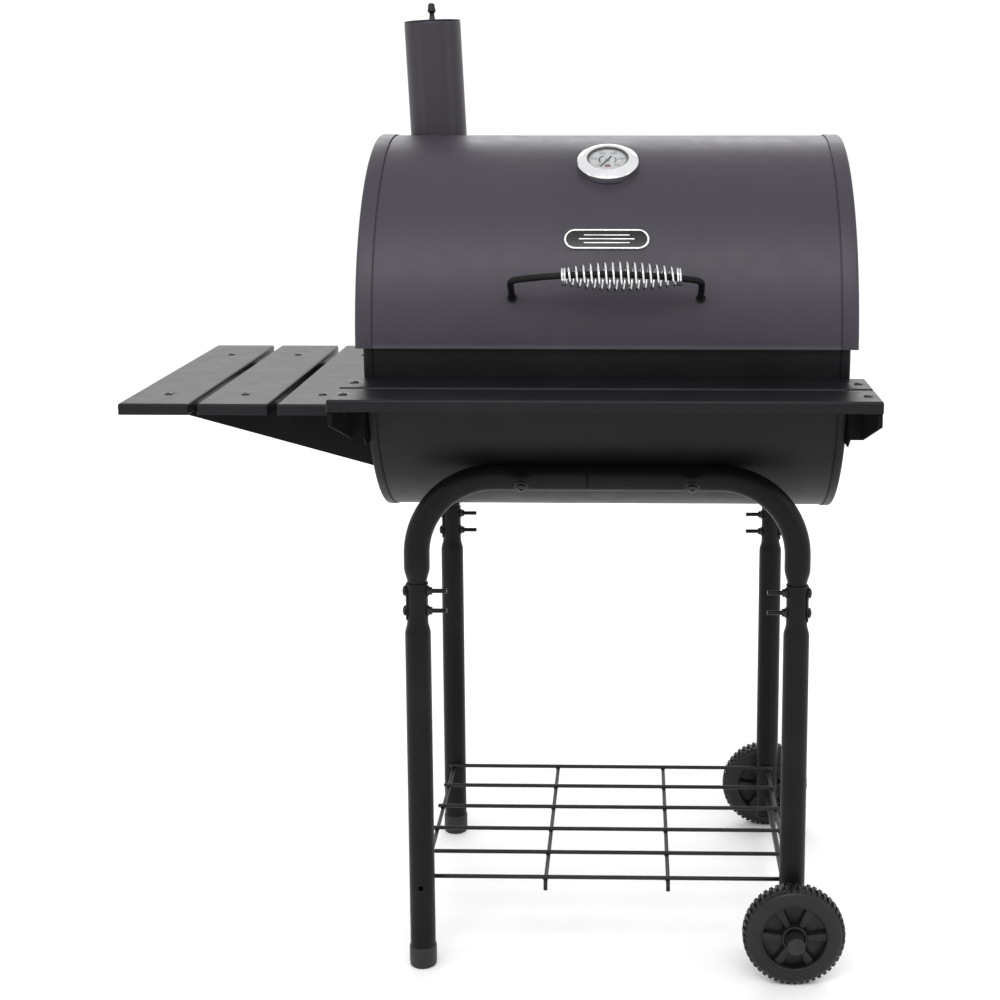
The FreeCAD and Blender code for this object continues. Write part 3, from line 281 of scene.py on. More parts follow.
def piece(name, form, slot, body, *replaced, crease=38, bevel=0, finish=None):
    """Makes one piece of the grill, in its slot's finish or a finish of its own, riding on its body."""
    thing = bpy.data.objects.new(name, finished_mesh(name, form, crease))
    bpy.context.scene.collection.objects.link(thing)
    if bevel:
        add_bevel(thing, bevel)
    thing.data.materials.append(finish or LOOKS[slot])
    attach(thing, body)
    if replaced:
        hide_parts(*replaced)
    return thing


def add_bevel(thing, width):
    bevel = thing.modifiers.new("Edge", "BEVEL")
    bevel.width = width
    bevel.segments = 2
    bevel.limit_method = "ANGLE"
    bevel.angle_limit = math.radians(38)
    bevel.harden_normals = False


def drill(thing, holes):
    """Cuts (place, axis, radius, length) holes through a finished piece."""
    form = Form()
    for at, axis, radius, long in holes:
        form.lathe([(radius, -long / 2), (radius, long / 2)], at, axis, 32)
    tool = bpy.data.objects.new("Drill", finished_mesh("Drill", form, 30))
    bpy.context.scene.collection.objects.link(tool)
    cutter = thing.modifiers.new("Holes", "BOOLEAN")
    cutter.object = tool
    cutter.operation = "DIFFERENCE"
    cutter.solver = "EXACT"
    bpy.context.view_layer.update()
    graph = bpy.context.evaluated_depsgraph_get()
    mesh = bpy.data.meshes.new_from_object(thing.evaluated_get(graph))
    thing.modifiers.remove(cutter)
    thing.data = mesh
    bpy.data.objects.remove(tool)
    shade(mesh, 38)


# ---------------------------------------------------------------- finishes

class Look:
    """A node material: one principled shader with procedural colour, roughness and bump."""

    def __init__(self, name, roughness, **fixed):
        self.material = bpy.data.materials.new(name)
        self.material.use_nodes = True
        self.tree = self.material.node_tree
        self.shader = self.tree.nodes["Principled BSDF"]
        self.shader.inputs["Roughness"].default_value = roughness
        for socket, value in fixed.items():
            self.shader.inputs[socket.replace("_", " ")].default_value = value
        self.place = self.add("ShaderNodeTexCoord").outputs["Object"]

    def add(self, kind, **settings):
        node = self.tree.nodes.new(kind)
        for key, value in settings.items():
            setattr(node, key, value)
        return node

    def join(self, source, target):
        self.tree.links.new(source, target)

    def noise(self, scale, detail=4, stretch=(1, 1, 1)):
        squeeze = self.add("ShaderNodeMapping")
        squeeze.inputs["Scale"].default_value = stretch
        node = self.add("ShaderNodeTexNoise")
        node.inputs["Scale"].default_value = scale
        node.inputs["Detail"].default_value = detail
        self.join(self.place, squeeze.inputs["Vector"])
        self.join(squeeze.outputs["Vector"], node.inputs["Vector"])
        return node.outputs["Fac"]

    def ramp(self, source, low, high, start=0.35, stop=0.65):
        """Turns a 0 to 1 pattern into a range of numbers."""
        node = self.add("ShaderNodeMapRange")
        for socket, value in (("From Min", start), ("From Max", stop), ("To Min", low), ("To Max", high)):
            node.inputs[socket].default_value = value
        self.join(source, node.inputs["Value"])
        return node.outputs["Result"]

    def colours(self, source, first, second):
        node = self.add("ShaderNodeMix", data_type="RGBA")
        node.inputs["A"].default_value = (*first, 1)
        node.inputs["B"].default_value = (*second, 1)
        self.join(source, node.inputs["Factor"])
        return node.outputs["Result"]

    def tint(self, scale, detail, first, second):
        """A colour that drifts between two tones."""
        return self.colours(self.ramp(self.noise(scale, detail), 0, 1), first, second)

    def blend(self, share, first, second):
        node = self.add("ShaderNodeMix", data_type="RGBA")
        self.join(share, node.inputs["Factor"])
        self.join(first, node.inputs["A"])
        if isinstance(second, tuple):
            node.inputs["B"].default_value = (*second, 1)
        else:
            self.join(second, node.inputs["B"])
        return node.outputs["Result"]

    def bump(self, source, strength, depth):
        node = self.add("ShaderNodeBump")
        node.inputs["Strength"].default_value = strength
        node.inputs["Distance"].default_value = depth
        self.join(source, node.inputs["Height"])
        previous = self.shader.inputs["Normal"]
        if previous.is_linked:
            self.join(previous.links[0].from_socket, node.inputs["Normal"])
        self.join(node.outputs["Normal"], previous)

    def set_colour(self, source):
        self.join(source, self.shader.inputs["Base Color"])

    def set_roughness(self, source):
        self.join(source, self.shader.inputs["Roughness"])


def painted(name, dark, light, roughness, peel, specular, dust=0.0):
    """Sprayed or powder-coated steel: fine orange peel, slow changes of tone, specks and dust."""
    look = Look(name, roughness, Specular_IOR_Level=specular)
    tone = look.tint(5, 3, dark, light)
    speck = look.ramp(look.noise(900, 2), 0, 1, 0.66, 0.74)
    tone = look.blend(speck, tone, tuple(value * 1.7 for value in light))
    if dust:
        settled = look.ramp(look.noise(14, 6), 0, dust, 0.45, 0.75)
        tone = look.blend(settled, tone, (0.2, 0.19, 0.18))
    look.set_colour(tone)
    look.set_roughness(look.ramp(look.noise(38, 5), roughness - 0.02, roughness + 0.03))
    look.bump(look.noise(620, 2), 0.18, 0.12 * MM)
    look.bump(look.noise(peel, 3), 0.12, 0.25 * MM)
    return look.material


def moulded(name, dark, light, roughness):
    """Moulded plastic with a fine spark-eroded grain."""
    look = Look(name, roughness, Specular_IOR_Level=0.3)
    look.set_colour(look.tint(24, 4, dark, light))
    look.set_roughness(look.ramp(look.noise(120, 4), roughness - 0.07, roughness + 0.07))
    look.bump(look.noise(1500, 2), 0.3, 0.15 * MM)
    return look.material


def chromed(name):
    look = Look(name, 0.09, Metallic=1.0)
    look.set_colour(look.tint(30, 3, (0.72, 0.725, 0.74), (0.8, 0.8, 0.81)))
    look.set_roughness(look.ramp(look.noise(300, 4), 0.06, 0.16))
    look.bump(look.noise(420, 2), 0.06, 0.08 * MM)
    return look.material


def brushed(name):
    """Brushed plate: long fine lines along X."""
    look = Look(name, 0.28, Metallic=1.0, Anisotropic=0.4)
    lines = look.noise(900, 3, (0.03, 1, 1))
    look.set_colour(look.colours(look.ramp(lines, 0, 1), (0.62, 0.62, 0.63), (0.86, 0.86, 0.86)))
    look.set_roughness(look.ramp(lines, 0.2, 0.36))
    look.bump(lines, 0.12, 0.05 * MM)
    return look.material


def enamelled(name):
    """Enamelled rod: glossy black, slightly uneven, with pale pin marks."""
    look = Look(name, 0.3, Specular_IOR_Level=0.5)
    tone = look.tint(18, 4, (0.016, 0.015, 0.015), (0.034, 0.032, 0.031))
    look.set_colour(look.blend(look.ramp(look.noise(700, 2), 0, 1, 0.68, 0.76), tone, (0.16, 0.155, 0.15)))
    look.set_roughness(look.ramp(look.noise(90, 4), 0.22, 0.42))
    look.bump(look.noise(240, 3), 0.3, 0.4 * MM)
    return look.material


def clear_glass(name):
    """Thin cover glass: nearly clear, with a few dust marks."""
    look = Look(name, 0.03, Alpha=0.05, Specular_IOR_Level=0.5)
    dust = look.ramp(look.noise(200, 4), 0, 1, 0.5, 0.8)
    look.set_colour(look.colours(dust, (0.5, 0.52, 0.52), (0.42, 0.42, 0.4)))
    look.set_roughness(look.ramp(look.noise(160, 5), 0.02, 0.08))
    return look.material


def printed(name, first, second, roughness):
    """Screen-printed paint on the dial."""
    look = Look(name, roughness, Specular_IOR_Level=0.35)
    look.set_colour(look.tint(160, 4, first, second))
    look.bump(look.noise(1200, 2), 0.12, 0.05 * MM)
    return look.material


LOOKS = {
    "barrel_paint": painted("barrel_paint", (0.0305, 0.0268, 0.0365), (0.034, 0.0298, 0.0405),
                            0.44, 90, 0.3, 0.012),
    "tube_paint": painted("tube_paint", (0.005, 0.0046, 0.005), (0.0075, 0.0069, 0.0075),
                          0.38, 130, 0.11, 0.015),
    "shelf_paint": painted("shelf_paint", (0.0055, 0.0051, 0.006), (0.0078, 0.0072, 0.0085),
                           0.33, 110, 0.18, 0.01),
    "wire_paint": painted("wire_paint", (0.006, 0.006, 0.006), (0.011, 0.01, 0.01), 0.4, 200, 0.25, 0.02),
    "black_fastener": painted("black_fastener", (0.006, 0.006, 0.0065), (0.013, 0.0125, 0.013),
                              0.32, 300, 0.3),
    "wheel_plastic": moulded("wheel_plastic", (0.0065, 0.006, 0.0065), (0.0105, 0.0098, 0.0105), 0.42),
    "cap_plastic": moulded("cap_plastic", (0.012, 0.0115, 0.012), (0.017, 0.0165, 0.017), 0.46),
    "grate_enamel": enamelled("grate_enamel"),
    "chrome": chromed("chrome"),
    "gauge_glass": clear_glass("gauge_glass"),
    "dial_face": printed("dial_face", (0.38, 0.385, 0.39), (0.45, 0.455, 0.46), 0.45),
    "needle_paint": printed("needle_paint", (0.004, 0.004, 0.0045), (0.008, 0.008, 0.009), 0.5),
    "badge_metal": brushed("badge_metal"),
}
# A darker copy of the barrel paint for the fire box: painted shade for its lower, shadowed half and its ends.
PAINTED_SHADE_PAINT = painted("painted_shade_paint", (0.0065, 0.006, 0.0068), (0.0092, 0.0085, 0.0095),
                       0.42, 90, 0.15, 0.012)
# A dull, low-gloss copy of the shelf paint that renders darker: painted shade for the brackets under the
# shelves.
PAINTED_SHADE_MATT_PAINT = painted("painted_shade_matt_paint", (0.0055, 0.0052, 0.0055), (0.008, 0.0075, 0.008), 0.6, 90, 0.06)
# A darker copy of the barrel paint for the chimney pipe: painted shade.
PAINTED_SHADE_STACK_PAINT = painted("painted_shade_stack_paint", (0.0225, 0.0198, 0.0265), (0.0255, 0.0225, 0.03), 0.38, 90, 0.3, 0.012)
PRINT_RED = printed("print_red", (0.1, 0.007, 0.012), (0.14, 0.01, 0.016), 0.45)
PRINT_BLACK = printed("print_black", (0.004, 0.004, 0.0045), (0.008, 0.008, 0.009), 0.5)


def dress_cad_nodes():
    """The CAD nodes that stay get their finish, soft edges and smooth round faces."""
    record = frame["record"]
    for part in record["subparts"]:
        thing = frame["nodes"][part["node"]]
        thing.data.materials.clear()
        thing.data.materials.append(LOOKS[part["material_slot"]])
        shade(thing.data, 32)


def edge_cad_nodes(nodes, width, finish=None):
    for node in nodes:
        add_bevel(frame["nodes"][node], width)
        if finish:
            frame["nodes"][node].data.materials[0] = finish


# ---------------------------------------------------------------- barrel

def lid_stations():
    """Places round the lid from its front edge to its back edge, closest at the hems."""
    hem = [0, 0.2, 0.4, 0.7, 1, 1.4]
    turns = hem + spread(2.5, 177.5, 120) + [180 - turn for turn in reversed(hem)]
    return [(radial(turn), 0, turn) for turn in turns]


def box_stations(lip):
    """Places round the fire box: down from the front lip, round the trough and up to the back lip."""
    front = [(radial(0), height, 0) for height in (lip, lip * 0.5)]
    trough = [(radial(-turn), 0, turn) for turn in spread(0, 180, 120)]
    rear = [(radial(-180), height, 180) for height in (lip * 0.5, lip)]
    return front + trough + rear


def sweep_outline(form, stations, outline_at):
    """Carries a closed (x, radius) outline round the barrel's axis."""
    rings = []
    for out, lift, turn in stations:
        rings.append([CENTRE + X * across + Z * lift + out * radius for across, radius in outline_at(turn)])
    form.loft(rings)


def ripple(across, turn):
    """The faint unevenness of rolled sheet."""
    slow = math.sin(across * 9 + turn * 0.05) * math.sin(turn * 0.045 + 1)
    quick = math.sin(across * 31 + 2) * math.sin(turn * 0.11 + across * 4)
    return (slow * 0.22 + quick * 0.07) * MM


def rolled_sheet(half, radius, band, hem, groove):
    """Outline maker for a rolled shell: its hems flare out a little, and it dips beside the end bands."""
    edge = half - band
    inner_span = spread(-edge + 2.2 * MM, edge - 2.2 * MM, 56)
    beside = [0, 0.25, 1.5, 1.9]
    marks = [-half] + [-edge + step * MM for step in beside] + inner_span
    marks += [edge - step * MM for step in reversed(beside)] + [half]

    def outline_at(turn):
        from_hem = min(turn, 180 - turn) * math.radians(1) * radius
        flare = hem * smooth_step(1 - from_hem / (5 * MM))
        outer = []
        for across in marks:
            dip = groove if 0.2 * MM < edge - abs(across) < 1.6 * MM else 0
            calm = smooth_step((edge - abs(across)) / (40 * MM)) * smooth_step(from_hem / (30 * MM))
            outer.append((across, radius + flare - dip - abs(ripple(across, turn)) * calm))
        inner = [(across, level - SHEET) for across, level in reversed(outer)]
        return outer + inner

    return outline_at


def banded_end(half, band, radius, hand):
    """Outline maker for an end cap: a plate, a rounded corner, and a band over the rolled sheet."""
    corner = 3.2 * MM
    roll = 0.55 * MM
    outer = radius + SHEET
    outline = [(0, 0), (0, outer * 0.3), (0, outer * 0.6), (0, outer * 0.85)]
    outline += [(corner - across, outer - corner + up)
                for across, up in arc((0, 0), corner, 0, 90, 6)]
    outline += [(band - roll + across, outer - roll + up) for across, up in arc((0, 0), roll, 90, -90, 5)]
    outline += [(corner, radius), (SHEET, radius - corner), (SHEET, 0)]

    def outline_at(turn):
        return [((half - depth) * hand, level) for depth, level in outline]

    return outline_at


def barrel():
    lid = Form()
    sweep_outline(lid, lid_stations(),
                  rolled_sheet(LID_HALF - SHEET, LID_RAD, LID_BAND - SHEET, 1.1 * MM, 0.9 * MM))
    shell = piece("lid_rolled_sheet", lid, "barrel_paint", "lid", "lid_shell", crease=50)
    flue = Vector((STACK_X, STACK_Y, middle("chimney_pipe").z))
    drill(shell, [(flue, Z, STACK_RAD - 3 * MM, extent("chimney_pipe").z * 1.6)])
    for side, hand in SIDES.items():
        end = Form()
        sweep_outline(end, lid_stations(), banded_end(LID_HALF, LID_BAND, LID_RAD, hand))
        piece("lid_banded_end_" + side, end, "barrel_paint", "lid", "lid_end_" + side)

    # The fire box shell and its ends wear the darker copy of the barrel paint, as painted shade.
    box = Form()
    sweep_outline(box, box_stations(BOX_LIP),
                  rolled_sheet(BOX_HALF - SHEET, BOX_RAD, BOX_BAND - SHEET, 0, 0.7 * MM))
    piece("firebox_rolled_sheet", box, "barrel_paint", "cart", "firebox_shell", crease=50,
          finish=PAINTED_SHADE_PAINT)
    for side, hand in SIDES.items():
        end = Form()
        sweep_outline(end, box_stations(BOX_LIP), banded_end(BOX_HALF, BOX_BAND, BOX_RAD, hand))
        cap = piece("firebox_banded_end_" + side, end, "barrel_paint", "cart", "firebox_end_" + side,
                    finish=PAINTED_SHADE_PAINT)
        if hand == RIGHT:
            drill(cap, [(spot, X, AIR_HOLE_RAD, 20 * MM) for spot in air_holes()])


def air_holes():
    hub = middle("vent_rivet")
    seat = Vector((CENTRE.x + BOX_HALF, hub.y, hub.z))
    return [seat + swing(Y, Z, turn) * AIR_PITCH for turn in (90, 210, 330)]


# ---------------------------------------------------------------- fasteners

def dome_head(form, at, way, radius, high, washer=0.0):
    """A pan head with a cross recess, its seat at the given place; way points out of the work."""
    first, second = axes_about(way)
    segments = 32
    if washer:
        form.lathe([(0, 0), (radius * 1.45, 0), (radius * 1.5, washer * 0.3), (radius * 1.42, washer),
                    (0, washer)], at, way, segments)
    seat = at + way * washer
    rim = [(1, 0), (1, 0.3)]
    crown = [(math.cos(math.radians(turn)), 0.3 + 0.7 * math.sin(math.radians(turn)))
             for turn in (15, 30, 45, 60)]
    shoulder = [(0.42, 0.96), (0.38, 0.975), (0.28, 0.985), (0.16, 1.0), (0.0, 1.0)]
    rings = []
    for share, level in rim + crown + shoulder:
        points = []
        for step in range(segments):
            turn = math.tau * step / segments
            across, up = share * math.cos(turn), share * math.sin(turn)
            in_arm = min(abs(across), abs(up)) < 0.07 and share < 0.4
            height = level - (0.45 if in_arm else 0)
            points.append(seat + (first * across + second * up) * radius + way * (height * high))
        rings.append(points)
    form.loft(rings)


def threaded(form, at, way, radius, long):
    """A bolt's threaded end, as close rounded ridges, with a chamfered tip."""
    pitch = 1.2 * MM
    outline = [(radius, 0)]
    ridges = int(long / pitch)
    for number in range(ridges):
        start = number * long / ridges
        outline += [(radius, start + pitch * 0.3), (radius * 0.84, start + pitch * 0.6),
                    (radius, start + pitch * 0.9)]
    outline += [(radius * 0.8, long), (0, long)]
    form.lathe([(0, 0)] + outline, at, way, 20)


def hex_nut(form, at, way, radius, high, flange=0.0):
    """A chamfered six-sided nut, with a sloping flange if it has one."""
    first, second = axes_about(way)
    segments = 48
    if flange:
        form.lathe([(0, 0), (flange, 0), (flange, high * 0.12), (radius * 0.9, high * 0.5), (0, high * 0.5)],
                   at, way, 32)

    def outline(height, limit):
        points = []
        for step in range(segments):
            turn = math.tau * step / segments
            flat = radius * math.cos(math.pi / 6) / math.cos(turn % (math.pi / 3) - math.pi / 6)
            reach = min(flat, limit)
            points.append(at + (first * math.cos(turn) + second * math.sin(turn)) * reach + way * height)
        return points

    form.loft([outline(0, radius * 0.9), outline(high * 0.12, radius), outline(high * 0.85, radius),
               outline(high, radius * 0.9)])


# ---------------------------------------------------------------- tube cart

def leg_at(hand, face, level=0):
    return Vector((CENTRE.x + LEG_X * hand, CENTRE.y + LEG_Y * face, level))


def toward_barrel(face):
    return (Vector((0, -face * LEG_Y, CENTRE.z - BAR_Z))).normalized()


def upper_leg(side, hand, end, face):
    """Half of a bent frame: the bar under the barrel, the bend, the post and its pinched neck."""
    node = "upper_leg_%s_%s" % (end, side)
    low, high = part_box(node)
    seam_x = high.x if hand == LEFT else low.x
    y = CENTRE.y + LEG_Y * face
    leg_x = CENTRE.x + LEG_X * hand
    corner = Vector((leg_x, y, BAR_Z))
    chamfer = 0.7 * MM
    seam = Vector((seam_x + hand * 0.4 * MM, y, BAR_Z))
    path = bent_path([seam, corner, Vector((leg_x, y, low.z))], BEND_RAD, 24)
    path = [seam, seam + X * (hand * chamfer)] + refine([seam + X * (hand * 3 * MM)] + path[1:], 4 * MM)

    def radius(point):
        if point.z < NECK_TOP + 2 * SHOULDER and abs(point.x - leg_x) < MM:
            return mix(SPIGOT_RAD, TUBE_RAD, smooth_step((point.z - NECK_TOP + 2 * MM) / (1.4 * SHOULDER)))
        return TUBE_RAD - (chamfer if abs(point.x - seam.x) < 0.1 * MM else 0)

    form = Form()
    form.tube(path, radius, 48)
    inward = toward_barrel(face)
    saddle = Vector((CENTRE.x + SADDLE_X * hand, y, BAR_Z))
    form.press(saddle - inward * TUBE_RAD, inward, 17 * MM, 2.4 * MM)
    pinch = (Y * face * 0.64 + Z * 0.77).normalized()
    form.press(saddle + pinch * TUBE_RAD, -pinch, 17 * MM, 4 * MM)
    piece("bent_tube_%s_%s" % (end, side), form, "tube_paint", "cart", node, crease=50)


def lower_leg(side, hand, end, face):
    """A straight post whose top is swaged down to a neck over the upper tube's spigot."""
    node = "lower_leg_%s_%s" % (end, side)
    foot = bottom(node)
    at = leg_at(hand, face)
    wall = 1.5 * MM
    shoulder = NECK_FOOT - SHOULDER
    swage = [(mix(TUBE_RAD, NECK_RAD, smooth_step(share)), shoulder + SHOULDER * share)
             for share in spread(0, 1, 10)]
    flare = beyond(NECK_RAD, NECK_TOP, (0, -6), (0.2, -2), (0.5, -0.5), (0.2, 0))
    outer = [(TUBE_RAD - 0.5 * MM, foot), (TUBE_RAD, foot + 0.6 * MM)]
    outer += [(TUBE_RAD, level) for level in spread(foot + 3 * MM, shoulder - 3 * MM, 40)] + swage
    outer += [(NECK_RAD, level) for level in spread(NECK_FOOT + 2 * MM, NECK_TOP - 8 * MM, 16)] + flare
    bore = SPIGOT_RAD + 0.1 * MM
    inner = [(bore, NECK_TOP), (bore, NECK_FOOT), (TUBE_RAD - wall, shoulder), (TUBE_RAD - wall, foot)]
    form = Form()
    form.lathe(outer + inner, at, Z, 48, closed=True)
    for level in JOINT_LEVELS:
        for way in (1, -1):
            form.press(at + Vector((NECK_RAD * way, 0, level)), X * -way, 8 * MM, 0.7 * MM)
    post = piece("straight_tube_%s_%s" % (end, side), form, "tube_paint", "cart", node, crease=50)
    holes = [(at + Vector((0, -face * TUBE_RAD, RACK_Z)), Y, WIRE_RAD + 0.3 * MM, TUBE_RAD)]
    if hand == LEFT:
        holes.append((at + Vector((0, face * TUBE_RAD, RACK_Z + 4 * MM)), Y, 3.4 * MM, TUBE_RAD))
    drill(post, holes)


def cart_tubes():
    for side, hand in SIDES.items():
        for end, face in FACES.items():
            upper_leg(side, hand, end, face)
            lower_leg(side, hand, end, face)


def foot_caps():
    for end in FACES:
        node = "foot_cap_" + end
        at = Vector((middle(node).x, middle(node).y, 0))
        radius = extent(node).x / 2
        high = top(node)
        form = Form()
        outline = [(0, 0), (radius * 0.8, 0)] + arc((radius - 2.6 * MM, 2.2 * MM), 2.2 * MM, -90, 0, 5)
        outline += [(radius, high * 0.3)] + beyond(radius, high, (0, -2.2), (-0.4, -0.8), (-0.9, 0))
        outline += [(TUBE_RAD + 0.05 * MM, high - 0.5 * MM), (TUBE_RAD, 5 * MM), (0, 5 * MM)]
        form.lathe(outline, at, Z, 48)
        for step in range(3):
            ring_level = high * (0.22 + step * 0.1)
            rib = beyond(radius, ring_level, (-0.3, -0.7), (0, 0), (-0.3, 0.7), (-1, 0))
            form.lathe(rib, at, Z, 48, closed=True)
        piece("rubber_foot_" + end, form, "cap_plastic", "cart", node)


def leg_joints(nuts):
    """Two bolts, an outside strap and two flanged nuts for each leg joint."""
    bolts, straps = Form(), Form()
    strap_low, strap_high = bottom("leg_joint_plates"), top("leg_joint_plates")
    long = 37 * MM
    for hand in SIDES.values():
        for face in FACES.values():
            at = leg_at(hand, face)
            out = X * hand
            for level in JOINT_LEVELS:
                centre = at + Z * level
                dome_head(bolts, centre + out * (NECK_RAD + 1.4 * MM), out, 6.6 * MM, 4 * MM)
                threaded(bolts, centre - out * (NECK_RAD - 3 * MM), -out, 3 * MM, long - 10 * MM)
                hex_nut(nuts, centre - out * (NECK_RAD - 0.6 * MM), -out, 5.6 * MM, 6 * MM, flange=7.2 * MM)
            rings = []
            for level in spread(strap_low, strap_high, 18):
                from_end = min(level - strap_low, strap_high - level)
                half_turn = 34 * math.sqrt(max(0.05, min(1, from_end / (7 * MM))))
                bulge = 0.6 * MM * max(math.exp(-((level - bolt) / (6 * MM)) ** 2) for bolt in JOINT_LEVELS)
                outer = arc((0, 0), NECK_RAD + 1.5 * MM + bulge, -half_turn, half_turn, 10)
                inner = arc((0, 0), NECK_RAD + 0.05 * MM, half_turn, -half_turn, 10)
                rings.append([at + out * across + Y * up + Z * level for across, up in outer + inner])
            straps.loft(rings)
    piece("joint_bolts", bolts, "black_fastener", "cart", "leg_joint_bolts")
    piece("joint_straps", straps, "tube_paint", "cart", "leg_joint_plates")


def saddle_bolts(nuts):
    """Bolts up through the bars into the fire box, with nuts inside it."""
    saddles = Form()
    for hand in SIDES.values():
        for face in FACES.values():
            inward = toward_barrel(face)
            bar = Vector((CENTRE.x + SADDLE_X * hand, CENTRE.y + LEG_Y * face, BAR_Z))
            dome_head(saddles, bar - inward * (TUBE_RAD - 2.2 * MM), -inward, 6.4 * MM, 4.4 * MM,
                      washer=1.2 * MM)
            inside = bar + inward * (TUBE_RAD + 2.6 * MM)
            hex_nut(nuts, inside, inward, 6 * MM, 5 * MM, flange=7.4 * MM)
            threaded(saddles, inside - inward * 4 * MM, inward, 3 * MM, 14 * MM)
    piece("saddle_bolt_set", saddles, "black_fastener", "cart", "saddle_bolts")


def frame_bolts():
    nuts = Form()
    leg_joints(nuts)
    saddle_bolts(nuts)
    piece("flange_nuts", nuts, "black_fastener", "cart", "frame_nuts")


def wire_rack():
    """Long wires over cross wires whose front ends turn down, with weld beads at each crossing."""
    low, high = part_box("bottom_rack")
    pitch = 73 * MM
    rows = [CENTRE.y + pitch * (row - 2.5) for row in range(6)]
    upper_z = RACK_Z + WIRE_RAD * 1.8
    cross_x = 80.5 * MM
    wires = Form()

    def end_radius(start, stop, along):
        def radius(point):
            from_end = min(abs(getattr(point, along) - start), abs(stop - getattr(point, along)))
            return WIRE_RAD * math.sqrt(max(0.1, min(1, 0.3 + from_end / (0.8 * MM))))
        return radius

    for y in rows:
        path = refine([Vector((low.x, y, upper_z)), Vector((low.x + MM, y, upper_z)),
                       Vector((high.x - MM, y, upper_z)), Vector((high.x, y, upper_z))], 60 * MM)
        wires.tube(path, end_radius(low.x, high.x, "x"), 14)
    side_half = LEG_Y - TUBE_RAD + 8 * MM
    for hand in SIDES.values():
        x = CENTRE.x + LEG_X * hand
        wires.tube([Vector((x, CENTRE.y + way * side_half, RACK_Z)) for way in (-1, 1)], WIRE_RAD, 14)
        x = CENTRE.x + cross_x * hand
        front, rear = rows[0] - 6 * MM, rows[-1] + 6 * MM
        corners = [Vector((x, y, z)) for y, z in ((front, low.z), (front, RACK_Z), (rear, RACK_Z))]
        path = bent_path(corners, 4.5 * MM, 8)
        wires.tube(path, WIRE_RAD, 14)
        for wire_x in (CENTRE.x + LEG_X * hand, x):
            for y in rows:
                for way in (1, -1):
                    bead = Vector((wire_x, y, RACK_Z)) + Vector((way * 0.75, way * 0.6, 0.85)) * WIRE_RAD
                    wires.lathe([(0, -1.7 * MM), (1.2 * MM, -1.2 * MM), (1.6 * MM, 0), (1.2 * MM, 1.2 * MM),
                                 (0, 1.7 * MM)], bead, Z, 10)
    piece("welded_rack", wires, "wire_paint", "cart", "bottom_rack", crease=60)


# ---------------------------------------------------------------- wheels

def wheel(end, face):
    """Moulded wheel: lugged tread, smooth sidewalls, spokes on a web, raised rim and hub rings."""
    node = "wheel_" + end
    hub = middle(node)
    out = Y * face
    radius = extent(node).z / 2
    half = extent(node).y / 2
    lug = 3.4 * MM
    tread = radius - lug
    rim = 41 * MM
    hub_rad = 17 * MM
    bore = 4.1 * MM
    web = 3 * MM
    side = half - 2 * MM
    form = Form()
    hub_outline = [(bore, half - 5 * MM)]
    hub_outline += beyond(hub_rad, half, (-4.5, -5), (-3.6, -1.4), (-2.8, -0.6), (-1.4, -0.6), (-0.4, -1.6),
                          (0, -3))
    hub_outline.append((hub_rad + 0.8 * MM, web))
    rim_outline = [(rim, web)]
    rim_outline += beyond(rim, side, (0, -1.2), (0.8, 0), (1.6, 0.6), (2.6, 0.6), (3.4, -0.6), (5, -1),
                          (10, -0.2))
    shoulder = beyond(tread, side, (-9, 0), (-5, -0.6), (-2.4, -2), (-0.7, -4.6), (0, -8))
    outer = hub_outline + rim_outline + shoulder
    inner = [(reach, -depth) for reach, depth in reversed(outer)]
    form.lathe(outer + inner, hub, out, 96, closed=True, zero=X)
    wheel_lugs(form, hub, out, radius, tread, side)
    for number in range(6):
        along = swing(X, Z, 60 * number)
        for way in (1, -1):
            spoke(form, hub, along, out * way, hub_rad - MM, rim + 0.6 * MM, web, side - 2.4 * MM)
    piece("treaded_" + node, form, "wheel_plastic", end + "_wheel", node, crease=32)


def spoke(form, hub, along, out, start, stop, low, high):
    """A ridged spoke, wider and a little lower at the rim."""
    across = along.cross(out)
    rings = []
    for share in spread(0, 1, 6):
        reach = mix(start, stop, share)
        half = mix(4.0, 7.2, share) * MM
        crest = mix(high, high - 1.5 * MM, share)
        flank = [(half, low - MM)] + beyond(half, crest, (-0.3, -3.6), (-1.4, -1.2)) + [(0.6 * MM, crest)]
        section = [(-v, w) for v, w in flank] + flank[::-1]
        rings.append([hub + along * reach + across * v + out * w for v, w in section])
    form.loft(rings)


def wheel_lugs(form, hub, out, radius, tread, side):
    """Two staggered rows of lugs that run from each shoulder past the middle of the tread."""
    count = 48
    for row in (1, -1):
        for number in range(count):
            turn = math.tau * (number + (0.25 if row > 0 else 0.75)) / count
            rings = []
            for depth, lift, wide in ((side - 3.2 * MM, -1.6 * MM, 0.26), (side - 4.4 * MM, 1.9 * MM, 0.3),
                                      (side - 8 * MM, 3.1 * MM, 0.28), (4 * MM, 3.4 * MM, 0.24),
                                      (-1.5 * MM, 3.3 * MM, 0.2), (-2.6 * MM, -0.4 * MM, 0.2)):
                half_turn = math.tau / count * wide
                top_rad, base_rad = tread + lift, tread - 2.4 * MM
                slant = -0.12 * (depth / side) * math.tau / count
                section = []
                for reach, angle in ((base_rad, -half_turn * 1.2), (top_rad, -half_turn * 0.8),
                                     (top_rad, half_turn * 0.8), (base_rad, half_turn * 1.2)):
                    outward = swing(X, Z, math.degrees(turn + slant + angle))
                    section.append(hub + outward * min(reach, radius) + out * (depth * row))
                rings.append(section)
            form.loft(rings)


